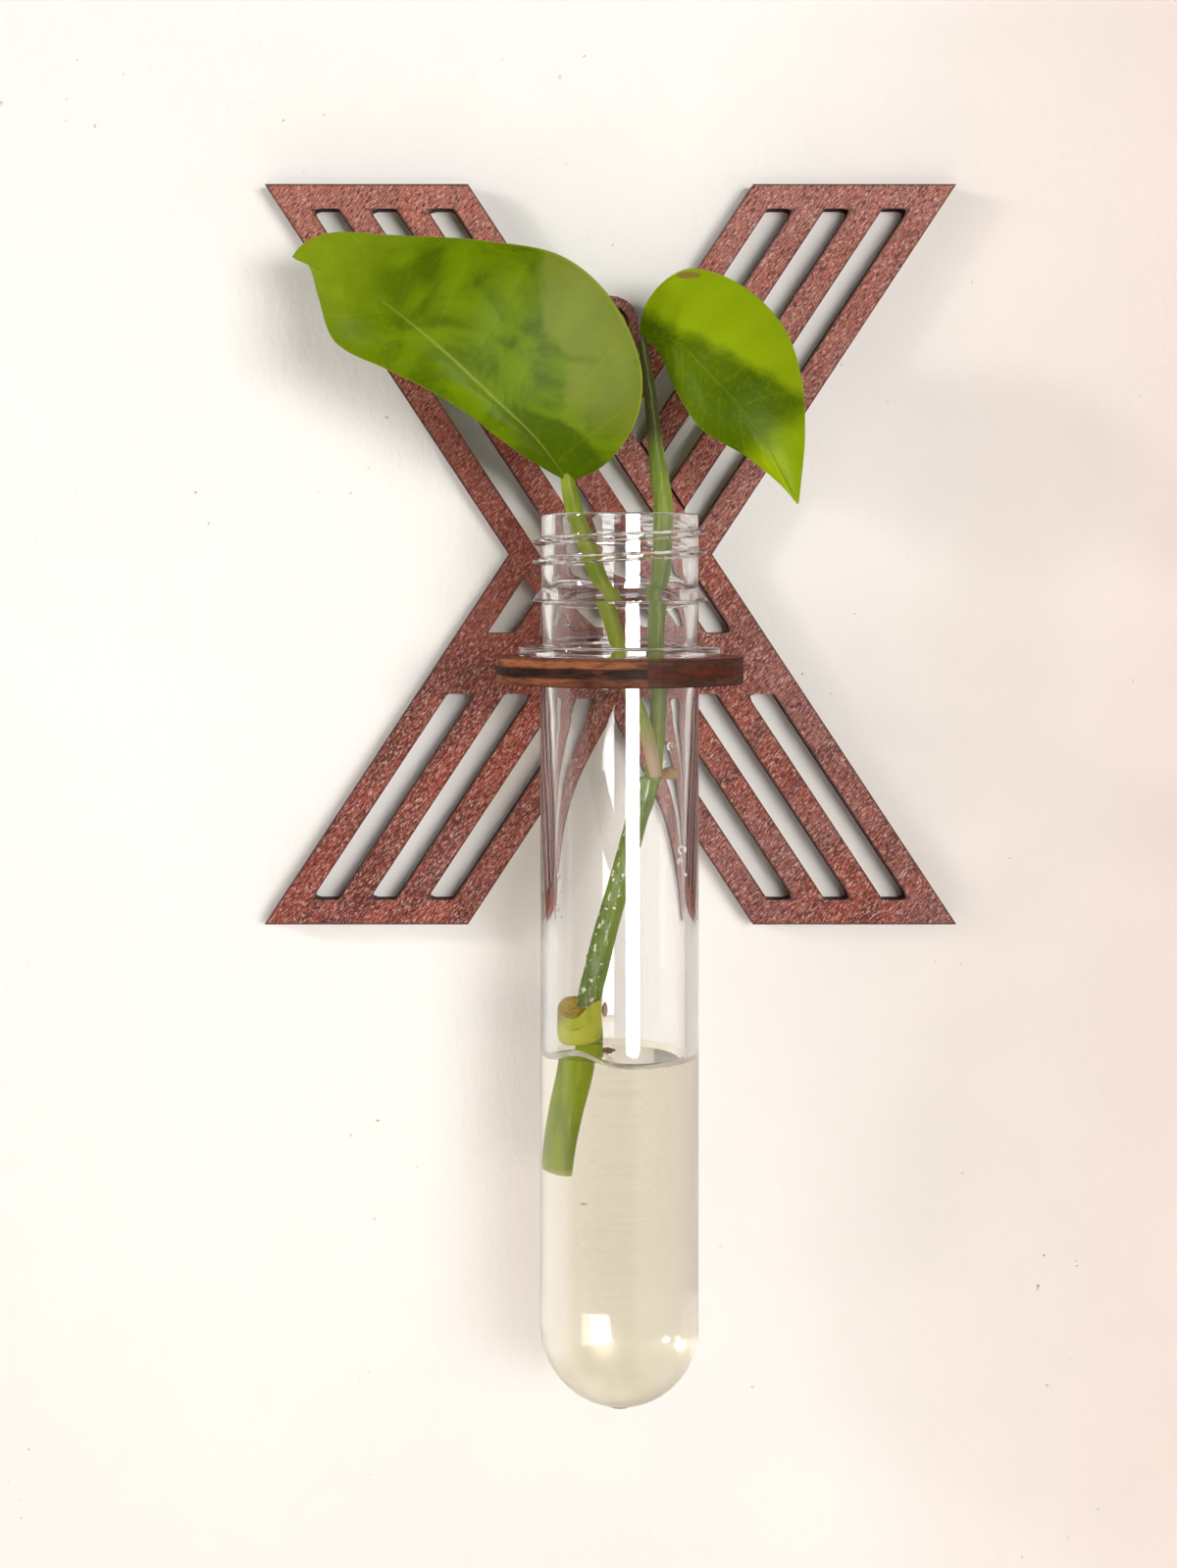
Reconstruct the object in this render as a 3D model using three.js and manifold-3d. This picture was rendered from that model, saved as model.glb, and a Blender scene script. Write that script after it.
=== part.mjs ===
// A wall-hung propagation station: a slotted plywood plate with a round shelf that holds a test tube
// of water with one plant cutting in it. Millimetres, +Z up, the wall is the plane y = 0 and the
// station stands out of it towards -Y. The origin is the centre of the hanging hole on the wall.
import * as THREE from "three";
import { mergeVertices } from "three/addons/utils/BufferGeometryUtils.js";
import Module from "manifold-3d";

const wasm = await Module();
wasm.setup();

// Plywood sheet, three equal plies, used for the plate and for the shelf
const plyThickness = 1.4;
const sheetThickness = 3 * plyThickness;

// Back plate: two crossed strokes, widths measured level across a stroke
const plateWidth = 116.1;
const plateHeight = 124.3;
const strokeWidth = 34.1;
const slotsPerStroke = 3;
const slotWidth = 4.5;
const slotEndMargin = 4.1;
const slotCornerRadius = 0.8;
const crossingGap = 0.6;

// Hanger tab above the crossing, its hole centred on the origin
const hangHoleDrop = 38.65;
const hangHoleRadius = 3.1;
const hangerRimWidth = 1.65;

// Solid band across both strokes, below the crossing, where the shelf is let in
const bandHeight = 10.2;
const bandDrop = 18.35;

// Shelf: a disc with a hole for the tube, a neck up to the plate and a tab that goes through it
const tubeHoleClearance = 0.7;
const shelfRimWidth = 6.35;
const shelfNeckLength = 3.65;
const shelfNeckWidth = 18;
const tabWidth = 12;
const tabClearance = 0.1;
const tabShortOfWall = 0.3;

// Test tube: the body hangs from a support ring, and the neck above it has a bead and a thread
const bodyRadius = 12.5;
const bodyWall = 2.1;
const bottomWall = 2.5;
const bodyLength = 118.4;
const neckLength = 22.4;
const neckRadius = 12.47;
const neckWall = 1.6;
const boreTaperLength = 7;
const boreTaperDrop = 3.6;
const supportRingReach = 3.5;
const supportRingThickness = 1.4;
const supportRingEdge = 0.35;
const seatClearance = 0.1;
const beadReach = 1.53;
const beadDepth = 11.7;
const beadSlope = 1.7;
const beadLip = 0.5;
const rimEdge = 0.4;
const gateRadius = 2;
const gateHeight = 0.35;

// Neck thread: one helical ridge of two turns that fades in and out, its depth below the rim
const threadHeight = 1.28;
const threadPitch = 3.1;
const threadTurns = 2;
const threadStartDepth = 8.35;
const threadRootWidth = 1.4;
const threadCrestWidth = 0.5;
const threadFade = 0.18;
const threadLetIn = 0.6;

// Water, with a meniscus that climbs the wall
const waterDepthBelowRim = 85.9;
const meniscusRise = 1.1;
const meniscusWidth = 1.8;
const waterFilm = 0.15;

// Cutting: gaps between its pieces, and what its foot and its lower node keep to the bore
const jointGap = 0.3;
const stemWaterGap = 0.3;
const footWallGap = 0.65;
const collarWallGap = 0.6;
const footRadius = 2.15;
const collarRadius = 3.5;
const collarHeight = 6.4;
const collarShift = 1.6;
const collarForward = 1.2;
const scarHalfWidth = 2;
const scarHalfHeight = 2.4;
const rootHalfLength = 0.95;
const budHalfWidth = 0.5;
const bladeThickness = 0.5;
const bladeBow = 1.2;

// Segments of the round forms, and how far a cutting body goes past what it cuts
const roundSegments = 48;
const bottomSteps = 6;
const cornerSegments = 2;
const stemSides = 12;
const cutThrough = 1;

// Derived sizes and places
const tubeHoleRadius = bodyRadius + tubeHoleClearance;
const shelfRadius = tubeHoleRadius + shelfRimWidth;
const tubeY = -sheetThickness - shelfNeckLength - shelfRadius;
const plateCentreZ = -hangHoleDrop;
const bandCentreZ = plateCentreZ - bandDrop;
const shelfTopZ = bandCentreZ + sheetThickness / 2;
const rimZ = shelfTopZ + seatClearance + neckLength;
const tubeBottomZ = rimZ - neckLength - bodyLength;
const bodyBoreRadius = bodyRadius - bodyWall;
const neckBoreRadius = neckRadius - neckWall;
const waterZ = rimZ - waterDepthBelowRim;
const edgeRun = (plateWidth - strokeWidth) / plateHeight;
const barWidth = (strokeWidth - slotsPerStroke * slotWidth) / (slotsPerStroke + 1);

// A closed mesh as a solid that can be joined and cut
function solidOf(geometry) {
  const bare = geometry.clone();
  bare.deleteAttribute("normal");
  bare.deleteAttribute("uv");
  const merged = mergeVertices(bare, 1e-4);
  const vertProperties = new Float32Array(merged.attributes.position.array);
  const triVerts = new Uint32Array(merged.index.array);
  return new wasm.Manifold(new wasm.Mesh({ numProp: 3, vertProperties, triVerts }));
}

// A solid back to a geometry
function geometryOf(solid) {
  const mesh = solid.getMesh();
  const positions = new Float32Array(mesh.numVert * 3);
  for (let i = 0; i < mesh.numVert; i++) {
    const start = i * mesh.numProp;
    positions.set(mesh.vertProperties.subarray(start, start + 3), i * 3);
  }
  const geometry = new THREE.BufferGeometry();
  geometry.setAttribute("position", new THREE.BufferAttribute(positions, 3));
  geometry.setIndex(new THREE.BufferAttribute(mesh.triVerts, 1));
  return geometry;
}

function joined(solids) {
  return solids.reduce((sum, solid) => sum.add(solid));
}

// An outline drawn face on, seen from the front with +Z up, as a board that lies between two depths
function uprightBoard(shape, nearWallY, thickness, curveSegments = cornerSegments) {
  const board = new THREE.ExtrudeGeometry(shape, { depth: thickness, bevelEnabled: false, curveSegments });
  board.rotateX(Math.PI / 2);
  board.translate(0, nearWallY, 0);
  return solidOf(board);
}

// An outline drawn from above with +Y away from the viewer, as a board that stands on a level
function flatBoard(shape, bottomZ, thickness, curveSegments = cornerSegments) {
  const board = new THREE.ExtrudeGeometry(shape, { depth: thickness, bevelEnabled: false, curveSegments });
  board.translate(0, 0, bottomZ);
  return solidOf(board);
}

// A closed outline through the corners, with each corner rounded as far as its sides allow
function roundedOutline(corners, radius) {
  const outline = new THREE.Shape();
  corners.forEach((corner, i) => {
    const toBefore = corners.at(i - 1).clone().sub(corner);
    const toAfter = corners[(i + 1) % corners.length].clone().sub(corner);
    const halfAngle = toBefore.angleTo(toAfter) / 2;
    const shortest = Math.min(toBefore.length(), toAfter.length());
    const trim = Math.min(radius / Math.tan(halfAngle), 0.4 * shortest);
    const start = toBefore.setLength(trim).add(corner);
    const end = toAfter.setLength(trim).add(corner);
    if (i === 0) outline.moveTo(start.x, start.y);
    else outline.lineTo(start.x, start.y);
    outline.quadraticCurveTo(corner.x, corner.y, end.x, end.y);
  });
  outline.closePath();
  return outline;
}

// A straight line on the plate's face: level, or along a stroke that falls or rises to the right.
// at is where the line crosses the level through the crossing's centre, or the level's own height.
function level(z) {
  return { lean: null, at: z };
}

function falling(x) {
  return { lean: -edgeRun, at: x };
}

function rising(x) {
  return { lean: edgeRun, at: x };
}

function meet(a, b) {
  let z;
  if (a.lean === null) z = a.at;
  else if (b.lean === null) z = b.at;
  else z = (b.at - a.at) / (a.lean - b.lean);
  const sloped = a.lean === null ? b : a;
  return new THREE.Vector2(sloped.at + sloped.lean * z, z + plateCentreZ);
}

// The corners of the area between two lines of one stroke and a line across each of its ends
function between(left, right, top, bottom) {
  return [meet(left, top), meet(left, bottom), meet(right, bottom), meet(right, top)];
}

function slotLines(stroke, index) {
  const left = -strokeWidth / 2 + (index + 1) * barWidth + index * slotWidth;
  return [stroke(left), stroke(left + slotWidth)];
}

// Everything that is cut out of the strokes of one ply. The falling stroke's slots run on through
// the crossing, and the rising stroke's stop at its edges.
function strokeCuts(cutBoard) {
  const top = level(plateHeight / 2 - slotEndMargin);
  const middle = level(0);
  const bottom = level(slotEndMargin - plateHeight / 2);
  const bandTop = level(bandHeight / 2 - bandDrop);
  const bandBottom = level(-bandHeight / 2 - bandDrop);
  const fallingLeft = falling(-strokeWidth / 2);
  const fallingRight = falling(strokeWidth / 2);
  const rounded = (...lines) => cutBoard(roundedOutline(between(...lines), slotCornerRadius));
  const sharp = (...lines) => cutBoard(new THREE.Shape(between(...lines)));
  const besideFalling = sharp(falling(-plateWidth), fallingLeft, middle, bandTop);
  const cuts = [];
  for (let index = 0; index < slotsPerStroke; index++) {
    const [fallLeft, fallRight] = slotLines(falling, index);
    const [riseLeft, riseRight] = slotLines(rising, index);
    cuts.push(rounded(fallLeft, fallRight, top, bandTop));
    cuts.push(rounded(fallLeft, fallRight, bandBottom, bottom));
    cuts.push(rounded(riseLeft, riseRight, top, fallingRight));
    cuts.push(rounded(riseLeft, riseRight, bandBottom, bottom));
    cuts.push(sharp(riseLeft, riseRight, middle, bandTop).intersect(besideFalling));
  }
  // A thin gap parts the rising stroke's inner bars from the falling stroke, on both its sides.
  const innerLeft = slotLines(rising, 0)[1];
  const innerRight = slotLines(rising, slotsPerStroke - 1)[0];
  cuts.push(sharp(innerLeft, innerRight, falling(strokeWidth / 2 + crossingGap), fallingRight));
  const lowerGap = sharp(falling(-strokeWidth / 2 - crossingGap), fallingLeft, middle, bandTop);
  cuts.push(lowerGap.intersect(sharp(innerLeft, innerRight, middle, bandTop)));
  return cuts;
}

// The round-topped tab in the upper V, its straight sides down to the bottom of the V
function hangerOutline() {
  const vertexZ = meet(falling(strokeWidth / 2), rising(-strokeWidth / 2)).y;
  const hangerRadius = hangHoleRadius + hangerRimWidth;
  const outline = new THREE.Shape();
  outline.moveTo(hangerRadius, 0);
  outline.absarc(0, 0, hangerRadius, 0, Math.PI);
  outline.lineTo(-hangerRadius, vertexZ);
  outline.lineTo(hangerRadius, vertexZ);
  outline.closePath();
  return outline;
}

// A whole circle has two points for each curve segment that the extrusion asks for
function circleOutline(x, y, radius) {
  return new THREE.Shape().absarc(x, y, radius, 0, 2 * Math.PI);
}

function rectangleOutline(left, right, low, high) {
  const corners = [[left, low], [right, low], [right, high], [left, high]];
  return new THREE.Shape(corners.map(([x, y]) => new THREE.Vector2(x, y)));
}

// One ply of the plate, its wall side at the given depth
function platePly(nearWallY) {
  const topEdge = level(plateHeight / 2);
  const bottomEdge = level(-plateHeight / 2);
  const stroke = (lean) => between(lean(-strokeWidth / 2), lean(strokeWidth / 2), topEdge, bottomEdge);
  const outer = joined([
    uprightBoard(new THREE.Shape(stroke(falling)), nearWallY, plyThickness),
    uprightBoard(new THREE.Shape(stroke(rising)), nearWallY, plyThickness),
    uprightBoard(hangerOutline(), nearWallY, plyThickness, roundSegments / 8),
  ]);
  const cutBoard = (outline, segments) =>
    uprightBoard(outline, nearWallY + cutThrough, plyThickness + 2 * cutThrough, segments);
  const halfWide = tabWidth / 2 + tabClearance;
  const halfHigh = sheetThickness / 2 + tabClearance;
  const tabSlot = rectangleOutline(-halfWide, halfWide, bandCentreZ - halfHigh, bandCentreZ + halfHigh);
  const cuts = strokeCuts(cutBoard);
  cuts.push(cutBoard(circleOutline(0, 0, hangHoleRadius), roundSegments / 4));
  cuts.push(cutBoard(tabSlot));
  return geometryOf(outer.subtract(joined(cuts)));
}

// One ply of the shelf: disc, neck up to the plate's front and tab through the plate
function shelfPly(bottomZ) {
  const halfNeck = shelfNeckWidth / 2;
  const halfTab = tabWidth / 2;
  const neck = rectangleOutline(-halfNeck, halfNeck, tubeY, -sheetThickness);
  const tab = rectangleOutline(-halfTab, halfTab, tubeY, -tabShortOfWall);
  const outer = joined([
    flatBoard(circleOutline(0, tubeY, shelfRadius), bottomZ, plyThickness, roundSegments / 2),
    flatBoard(neck, bottomZ, plyThickness),
    flatBoard(tab, bottomZ, plyThickness),
  ]);
  const hole = circleOutline(0, tubeY, tubeHoleRadius);
  const holeHeight = plyThickness + 2 * cutThrough;
  return geometryOf(outer.subtract(flatBoard(hole, bottomZ - cutThrough, holeHeight, roundSegments / 2)));
}

// A body of revolution about the tube's axis from [radius, height] points that start and end on it,
// or that close on themselves, outside face first going up
function turned(profile) {
  const points = profile.map(([radius, z]) => new THREE.Vector2(radius, z));
  const lathe = new THREE.LatheGeometry(points, roundSegments);
  lathe.rotateX(Math.PI / 2);
  lathe.translate(0, tubeY, 0);
  return solidOf(lathe);
}

// Points of a quarter circle up from the lowest point of a round bottom, or from a stated radius
function bottomArc(centreZ, radius, fromRadius = 0) {
  const points = [];
  const startAngle = Math.asin(fromRadius / radius);
  for (let i = 0; i <= bottomSteps; i++) {
    const angle = THREE.MathUtils.lerp(startAngle, Math.PI / 2, i / bottomSteps);
    points.push([radius * Math.sin(angle), centreZ - radius * Math.cos(angle)]);
  }
  return points;
}

const boreBottomCentreZ = tubeBottomZ + bottomWall + bodyBoreRadius;

function tubeShell() {
  const ringBottom = rimZ - neckLength;
  const ringTop = ringBottom + supportRingThickness;
  const ringRadius = bodyRadius + supportRingReach;
  const beadTop = rimZ - beadDepth;
  const beadCrest = beadTop - beadSlope;
  const beadRadius = neckRadius + beadReach;
  const taperTop = ringBottom - boreTaperDrop;
  const outside = [
    [0, tubeBottomZ - gateHeight],
    [gateRadius, tubeBottomZ - gateHeight],
    ...bottomArc(tubeBottomZ + bodyRadius, bodyRadius, gateRadius),
    [bodyRadius, ringBottom],
    [ringRadius - supportRingEdge, ringBottom],
    [ringRadius, ringBottom + supportRingEdge],
    [ringRadius, ringTop - supportRingEdge],
    [ringRadius - supportRingEdge, ringTop],
    [neckRadius, ringTop],
    [neckRadius, beadCrest - beadLip],
    [beadRadius - beadLip / 2, beadCrest - beadLip],
    [beadRadius, beadCrest],
    [neckRadius, beadTop],
    [neckRadius, rimZ - rimEdge],
    [neckRadius - rimEdge, rimZ],
  ];
  const inside = [
    [neckBoreRadius + rimEdge / 2, rimZ],
    [neckBoreRadius, rimZ - rimEdge / 2],
    [neckBoreRadius, taperTop],
    [bodyBoreRadius, taperTop - boreTaperLength],
    ...bottomArc(boreBottomCentreZ, bodyBoreRadius).reverse(),
  ];
  return turned([...outside, ...inside]);
}

// The helical ridge of the thread, let into the neck so that the two join
function threadRidge() {
  const stepsPerTurn = roundSegments / 2;
  const steps = stepsPerTurn * threadTurns;
  const inner = neckRadius - threadLetIn;
  const endCrest = neckRadius - threadLetIn / 2;
  const positions = [];
  for (let i = 0; i <= steps; i++) {
    const turn = i / stepsPerTurn;
    const toEnd = Math.min(turn, threadTurns - turn);
    const fade = Math.sin((Math.PI / 2) * Math.min(1, toEnd / threadFade));
    const crest = THREE.MathUtils.lerp(endCrest, neckRadius + threadHeight, fade);
    const angle = 2 * Math.PI * (turn + 0.25) + Math.PI / roundSegments;
    const z = rimZ - threadStartDepth + threadPitch * turn;
    const section = [
      [inner, threadRootWidth / 2], [crest, threadCrestWidth / 2],
      [crest, -threadCrestWidth / 2], [inner, -threadRootWidth / 2],
    ];
    for (const [radius, rise] of section) {
      positions.push(radius * Math.cos(angle), radius * Math.sin(angle) + tubeY, z + rise);
    }
  }
  return solidOf(sweptSkin(positions, steps, 4));
}

// The closed skin of a sweep: rings of equal counts, side by side, and a flat face at each end
function sweptSkin(positions, steps, sides) {
  const index = [];
  for (let i = 0; i < steps; i++) {
    for (let j = 0; j < sides; j++) {
      const a = i * sides + j;
      const b = i * sides + ((j + 1) % sides);
      index.push(a, b, b + sides, a, b + sides, a + sides);
    }
  }
  const last = steps * sides;
  for (let j = 1; j < sides - 1; j++) {
    index.push(0, j + 1, j);
    index.push(last, last + j, last + j + 1);
  }
  const skin = new THREE.BufferGeometry();
  skin.setAttribute("position", new THREE.Float32BufferAttribute(positions, 3));
  skin.setIndex(index);
  return skin;
}

// A stalk along a route of [x, y, z, radius] points, x and y from the tube's axis and z from its rim
function stalk(route, steps, extraRadius = 0) {
  const points = route.map(([x, y, z]) => new THREE.Vector3(x, y + tubeY, z + rimZ));
  const radii = route.map((point) => point[3] + extraRadius);
  const curve = new THREE.CatmullRomCurve3(points, false, "centripetal");
  const positions = [];
  const side = new THREE.Vector3();
  const front = new THREE.Vector3();
  for (let i = 0; i <= steps; i++) {
    const t = i / steps;
    const centre = curve.getPoint(t);
    const along = curve.getTangent(t);
    side.crossVectors(new THREE.Vector3(0, 1, 0), along).normalize();
    front.crossVectors(along, side);
    const place = t * (radii.length - 1);
    const before = Math.min(Math.floor(place), radii.length - 2);
    const radius = THREE.MathUtils.lerp(radii[before], radii[before + 1], place - before);
    for (let j = 0; j < stemSides; j++) {
      const angle = (2 * Math.PI * j) / stemSides;
      const point = centre.clone();
      point.addScaledVector(side, radius * Math.cos(angle));
      point.addScaledVector(front, radius * Math.sin(angle));
      positions.push(point.x, point.y, point.z);
    }
  }
  return solidOf(sweptSkin(positions, steps, stemSides));
}

// A point of a route, measured from a node of the plant
function from(node, x, y, z, radius) {
  return [node[0] + x, node[1] + y, node[2] + z, radius];
}

// The stem leans on the bore at its foot, and so does the collar round its lower node. It crosses
// the tube to the upper node, and both leaf stalks leave through the mouth.
const collarX = collarWallGap + collarRadius - bodyBoreRadius;
const stemFoot = [footWallGap + footRadius - bodyBoreRadius, 1.2, -104.1, footRadius];
const lowerNode = [collarX + collarShift, 0.8, -83.4, 2.2];
const upperNode = [4.45, 0, -42.2, 1.75];
const stemLowerRoute = [stemFoot, from(lowerNode, -1.55, 0.2, -10.7, 2.1), lowerNode];
const stemUpperRoute = [
  from(lowerNode, 0, 0, jointGap, 2.15),
  from(lowerNode, 0.05, -0.1, collarHeight + jointGap, 1.95),
  [-2.6, 0.4, -67.7, 1.9],
  [0.8, 0.2, -55.6, 1.8],
  upperNode,
];
const petioleRightRoute = [
  from(upperNode, 0.75, 0, jointGap, 1.35),
  [6.2, -0.1, -30.6, 1.3],
  [5.8, -0.3, -18.6, 1.35],
  [6.8, -0.6, -5.6, 1.55],
  [6.9, -0.5, 1.4, 1.55],
  [6, -0.1, 8.4, 1.3],
  [5.4, 0.2, 14.4, 1.05],
  [4.7, 0.4, 20.4, 0.95],
  [3.6, 0.7, 27.6, 0.65],
];
const petioleLeftRoute = [
  from(upperNode, -1.85, -0.3, 0.95, 0.95),
  [1.8, -0.7, -33.6, 1.2],
  [0.2, -1, -23.6, 1.35],
  [-1.7, -1.3, -15.6, 1.4],
  [-4.3, -1.8, -7.6, 1.4],
  [-6.8, -2.2, -1.1, 1.4],
  [-8.05, -2.7, 4.3, 1.2],
];
const aerialRootRoute = [
  from(upperNode, 2.4, -0.1, 1.2, 0.8),
  from(upperNode, 3.4, -0.1, 1.3, 1.05),
  from(upperNode, 4.6, -0.1, 1.3, 0.95),
];

// The cut-off leaf base that wraps the lower node like a collar, hollowed where it was cut. It
// grows out at the left and in front of the stem.
function petioleStub() {
  const collar = stalk([
    from(lowerNode, 0.1 - collarShift, -collarForward, -0.6, collarRadius - 0.6),
    from(lowerNode, -collarShift, -collarForward, 0.1 * collarHeight, collarRadius - 0.1),
    from(lowerNode, -collarShift, -collarForward, 0.6 * collarHeight, collarRadius),
    from(lowerNode, -collarShift, -collarForward, collarHeight, collarRadius - 0.1),
  ], 4);
  const belowGap = from(lowerNode, 0, 0, -cutThrough, lowerNode[3]);
  const stems = joined([
    stalk(stemLowerRoute, 6, jointGap),
    stalk([belowGap, ...stemUpperRoute], 12, jointGap),
  ]);
  const scarPlace = from(lowerNode, -collarShift - 0.7, -2 * collarForward, collarHeight);
  const scar = smallBody(scarPlace, [scarHalfWidth, scarHalfWidth, scarHalfHeight], -0.35);
  const left = collar.subtract(stems).subtract(solidOf(scar)).decompose();
  return geometryOf(left.reduce((best, piece) => (piece.volume() > best.volume() ? piece : best)));
}

// A small rounded body about its own centre, with its three half sizes and a lean about Y
function smallBody([x, y, z], halfSizes, lean) {
  const body = new THREE.SphereGeometry(1, 10, 6);
  body.scale(...halfSizes);
  body.rotateY(lean);
  body.translate(x, y + tubeY, z + rimZ);
  return body;
}

// A blade between its midrib and its two margins, each from the base to the tip as [x, y, z], x and
// y from the tube's axis and z from its rim. Right and left are those of a walk from the base to
// the tip, seen from the front. The blade bows forward between the midrib and each margin.
function blade(midrib, rightMargin, leftMargin) {
  const alongSteps = 15;
  const acrossSteps = 4;
  const curveOf = (points) => {
    const places = points.map(([x, y, z]) => new THREE.Vector3(x, y + tubeY, z + rimZ));
    return new THREE.CatmullRomCurve3(places, false, "centripetal");
  };
  const middle = curveOf(midrib);
  const right = curveOf(rightMargin);
  const left = curveOf(leftMargin);
  const rowLength = 2 * acrossSteps + 1;
  const positions = [];
  for (const faceShift of [-bladeThickness / 2, bladeThickness / 2]) {
    for (let i = 0; i <= alongSteps; i++) {
      const t = i / alongSteps;
      const spine = middle.getPointAt(t);
      for (let j = -acrossSteps; j <= acrossSteps; j++) {
        const share = Math.abs(j) / acrossSteps;
        const edge = (j < 0 ? left : right).getPointAt(t);
        const point = spine.clone().lerp(edge, share);
        const bow = bladeBow * 4 * share * (1 - share) * Math.sin(Math.PI * t);
        positions.push(point.x, point.y - bow + faceShift, point.z);
      }
    }
  }
  return closedBlade(positions, alongSteps, rowLength);
}

// The front and back faces of a blade and the narrow faces along its margins. Its rows shrink to a
// point at the base and at the tip, so the flat triangles there are left out.
function closedBlade(positions, alongSteps, rowLength) {
  const faceSize = (alongSteps + 1) * rowLength;
  const index = [];
  for (let i = 0; i < alongSteps; i++) {
    for (let j = 0; j < rowLength - 1; j++) {
      const a = i * rowLength + j;
      const b = a + rowLength;
      index.push(a, a + 1, b + 1, a, b + 1, b);
      const c = a + faceSize;
      const d = b + faceSize;
      index.push(c, d + 1, c + 1, c, d, d + 1);
    }
    const leftEdge = i * rowLength;
    const leftNext = leftEdge + rowLength;
    index.push(leftEdge, leftNext + faceSize, leftEdge + faceSize);
    index.push(leftEdge, leftNext, leftNext + faceSize);
    const rightEdge = leftNext - 1;
    const rightNext = rightEdge + rowLength;
    index.push(rightEdge, rightEdge + faceSize, rightNext + faceSize);
    index.push(rightEdge, rightNext + faceSize, rightNext);
  }
  const loose = new THREE.BufferGeometry();
  loose.setAttribute("position", new THREE.Float32BufferAttribute(positions, 3));
  loose.setIndex(index);
  const welded = mergeVertices(loose, 1e-3);
  const corners = welded.index.array;
  const kept = [];
  for (let i = 0; i < corners.length; i += 3) {
    const [a, b, c] = corners.slice(i, i + 3);
    if (a !== b && b !== c && c !== a) kept.push(a, b, c);
  }
  welded.setIndex(kept);
  return welded;
}

// Leaf on the left: heart-shaped, seen nearly face on, its tip turned back towards the plate
const leftBase = [-8.1, -2.8, 5];
const leftTip = [-51.3, 7.4, 42.6];
const leftMidrib = [
  leftBase, [-13.6, -6.6, 11.7], [-20.4, -8.6, 17.9], [-29.5, -8.6, 26.3], [-40.4, -3.6, 35.2], leftTip,
];
const leftUpperMargin = [
  leftBase, [-2.7, -3.6, 7.5], [2.3, -5.6, 14.3], [3.1, -6.6, 22.6], [-1.3, -6.6, 32.9],
  [-8.9, -5.6, 39.9], [-20.4, -3.6, 42.7], [-35.9, 0.4, 44.2], [-46.2, 5.4, 45.2], leftTip,
];
const leftLowerMargin = [
  leftBase, [-12, -4.6, 7], [-17.4, -6.6, 10.4], [-23.5, -7.6, 15], [-29.6, -7.6, 18.8],
  [-35.7, -6.6, 21.9], [-44.7, -3.6, 26.7], [-47.6, 1.4, 34.2], leftTip,
];

// Leaf on the right: hangs from its stalk with the tip down and forward
const rightBase = [3.3, 0.4, 28.6];
const rightTip = [26.8, -10.6, 1.2];
const rightMidrib = [
  rightBase, [8.8, -3.6, 26.7], [13.9, -6.6, 21.1], [18.5, -9.6, 15.6], [22.6, -10.6, 9.5], rightTip,
];
const rightUpperMargin = [
  rightBase, [4.2, 1.4, 33.1], [7.9, 3.4, 37.7], [11.9, 4.4, 39.4], [18.9, 3.4, 37.1],
  [25.5, 0.4, 30.5], [28.2, -3.6, 22.1], [28.3, -7.6, 12.7], rightTip,
];
const rightLowerMargin = [
  rightBase, [6, -1.6, 25.7], [8.8, -3.6, 19], [12.4, -6.6, 13], [19.1, -8.6, 8.8],
  [24.8, -10.6, 3.7], rightTip,
];

// The water fills the round bottom and climbs the wall a little. A straight way up is left free for
// the stem's foot.
function waterBody() {
  const radius = bodyBoreRadius - waterFilm;
  const meniscusSteps = 4;
  const profile = bottomArc(boreBottomCentreZ, radius);
  for (let i = 0; i <= meniscusSteps; i++) {
    const share = i / meniscusSteps;
    profile.push([radius - meniscusWidth * share, waterZ + meniscusRise * (1 - share) ** 2.5]);
  }
  profile.push([0, waterZ]);
  const left = -bodyBoreRadius;
  const right = lowerNode[0] + lowerNode[3] + stemWaterGap;
  const front = lowerNode[1] - lowerNode[3] - stemWaterGap;
  const back = stemFoot[1] + footRadius + stemWaterGap;
  const low = rimZ + stemFoot[2] - 3 * stemWaterGap;
  const high = waterZ + meniscusRise + cutThrough;
  const way = flatBoard(rectangleOutline(left, right, tubeY + front, tubeY + back), low, high - low);
  return geometryOf(turned(profile).subtract(way));
}

// Finishes
function finish(color, roughness, extra = {}) {
  return new THREE.MeshStandardMaterial({ color, roughness, metalness: 0, ...extra });
}
const clear = { transparent: true, opacity: 0.35 };

const station = new THREE.Group();

function addPiece(name, geometry, material) {
  const mesh = new THREE.Mesh(geometry, material);
  geometry.computeVertexNormals();
  mesh.name = name;
  station.add(mesh);
}

const plateNames = ["plate_back_veneer", "plate_core", "plate_front_veneer"];
plateNames.forEach((name, i) => {
  const tone = i === 1 ? 0x2e1a12 : 0x7a3b33;
  addPiece(name, platePly(-i * plyThickness), finish(tone, 0.6));
});

const shelfNames = ["shelf_bottom_veneer", "shelf_core", "shelf_top_veneer"];
shelfNames.forEach((name, i) => {
  const tone = i === 1 ? 0x2e1a12 : 0x8a4a2e;
  addPiece(name, shelfPly(shelfTopZ - sheetThickness + i * plyThickness), finish(tone, 0.6));
});

addPiece("test_tube", geometryOf(tubeShell().add(threadRidge())), finish(0xf2f0ec, 0.05, clear));
addPiece("water", waterBody(), finish(0xd9d6bd, 0.05, clear));

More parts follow.
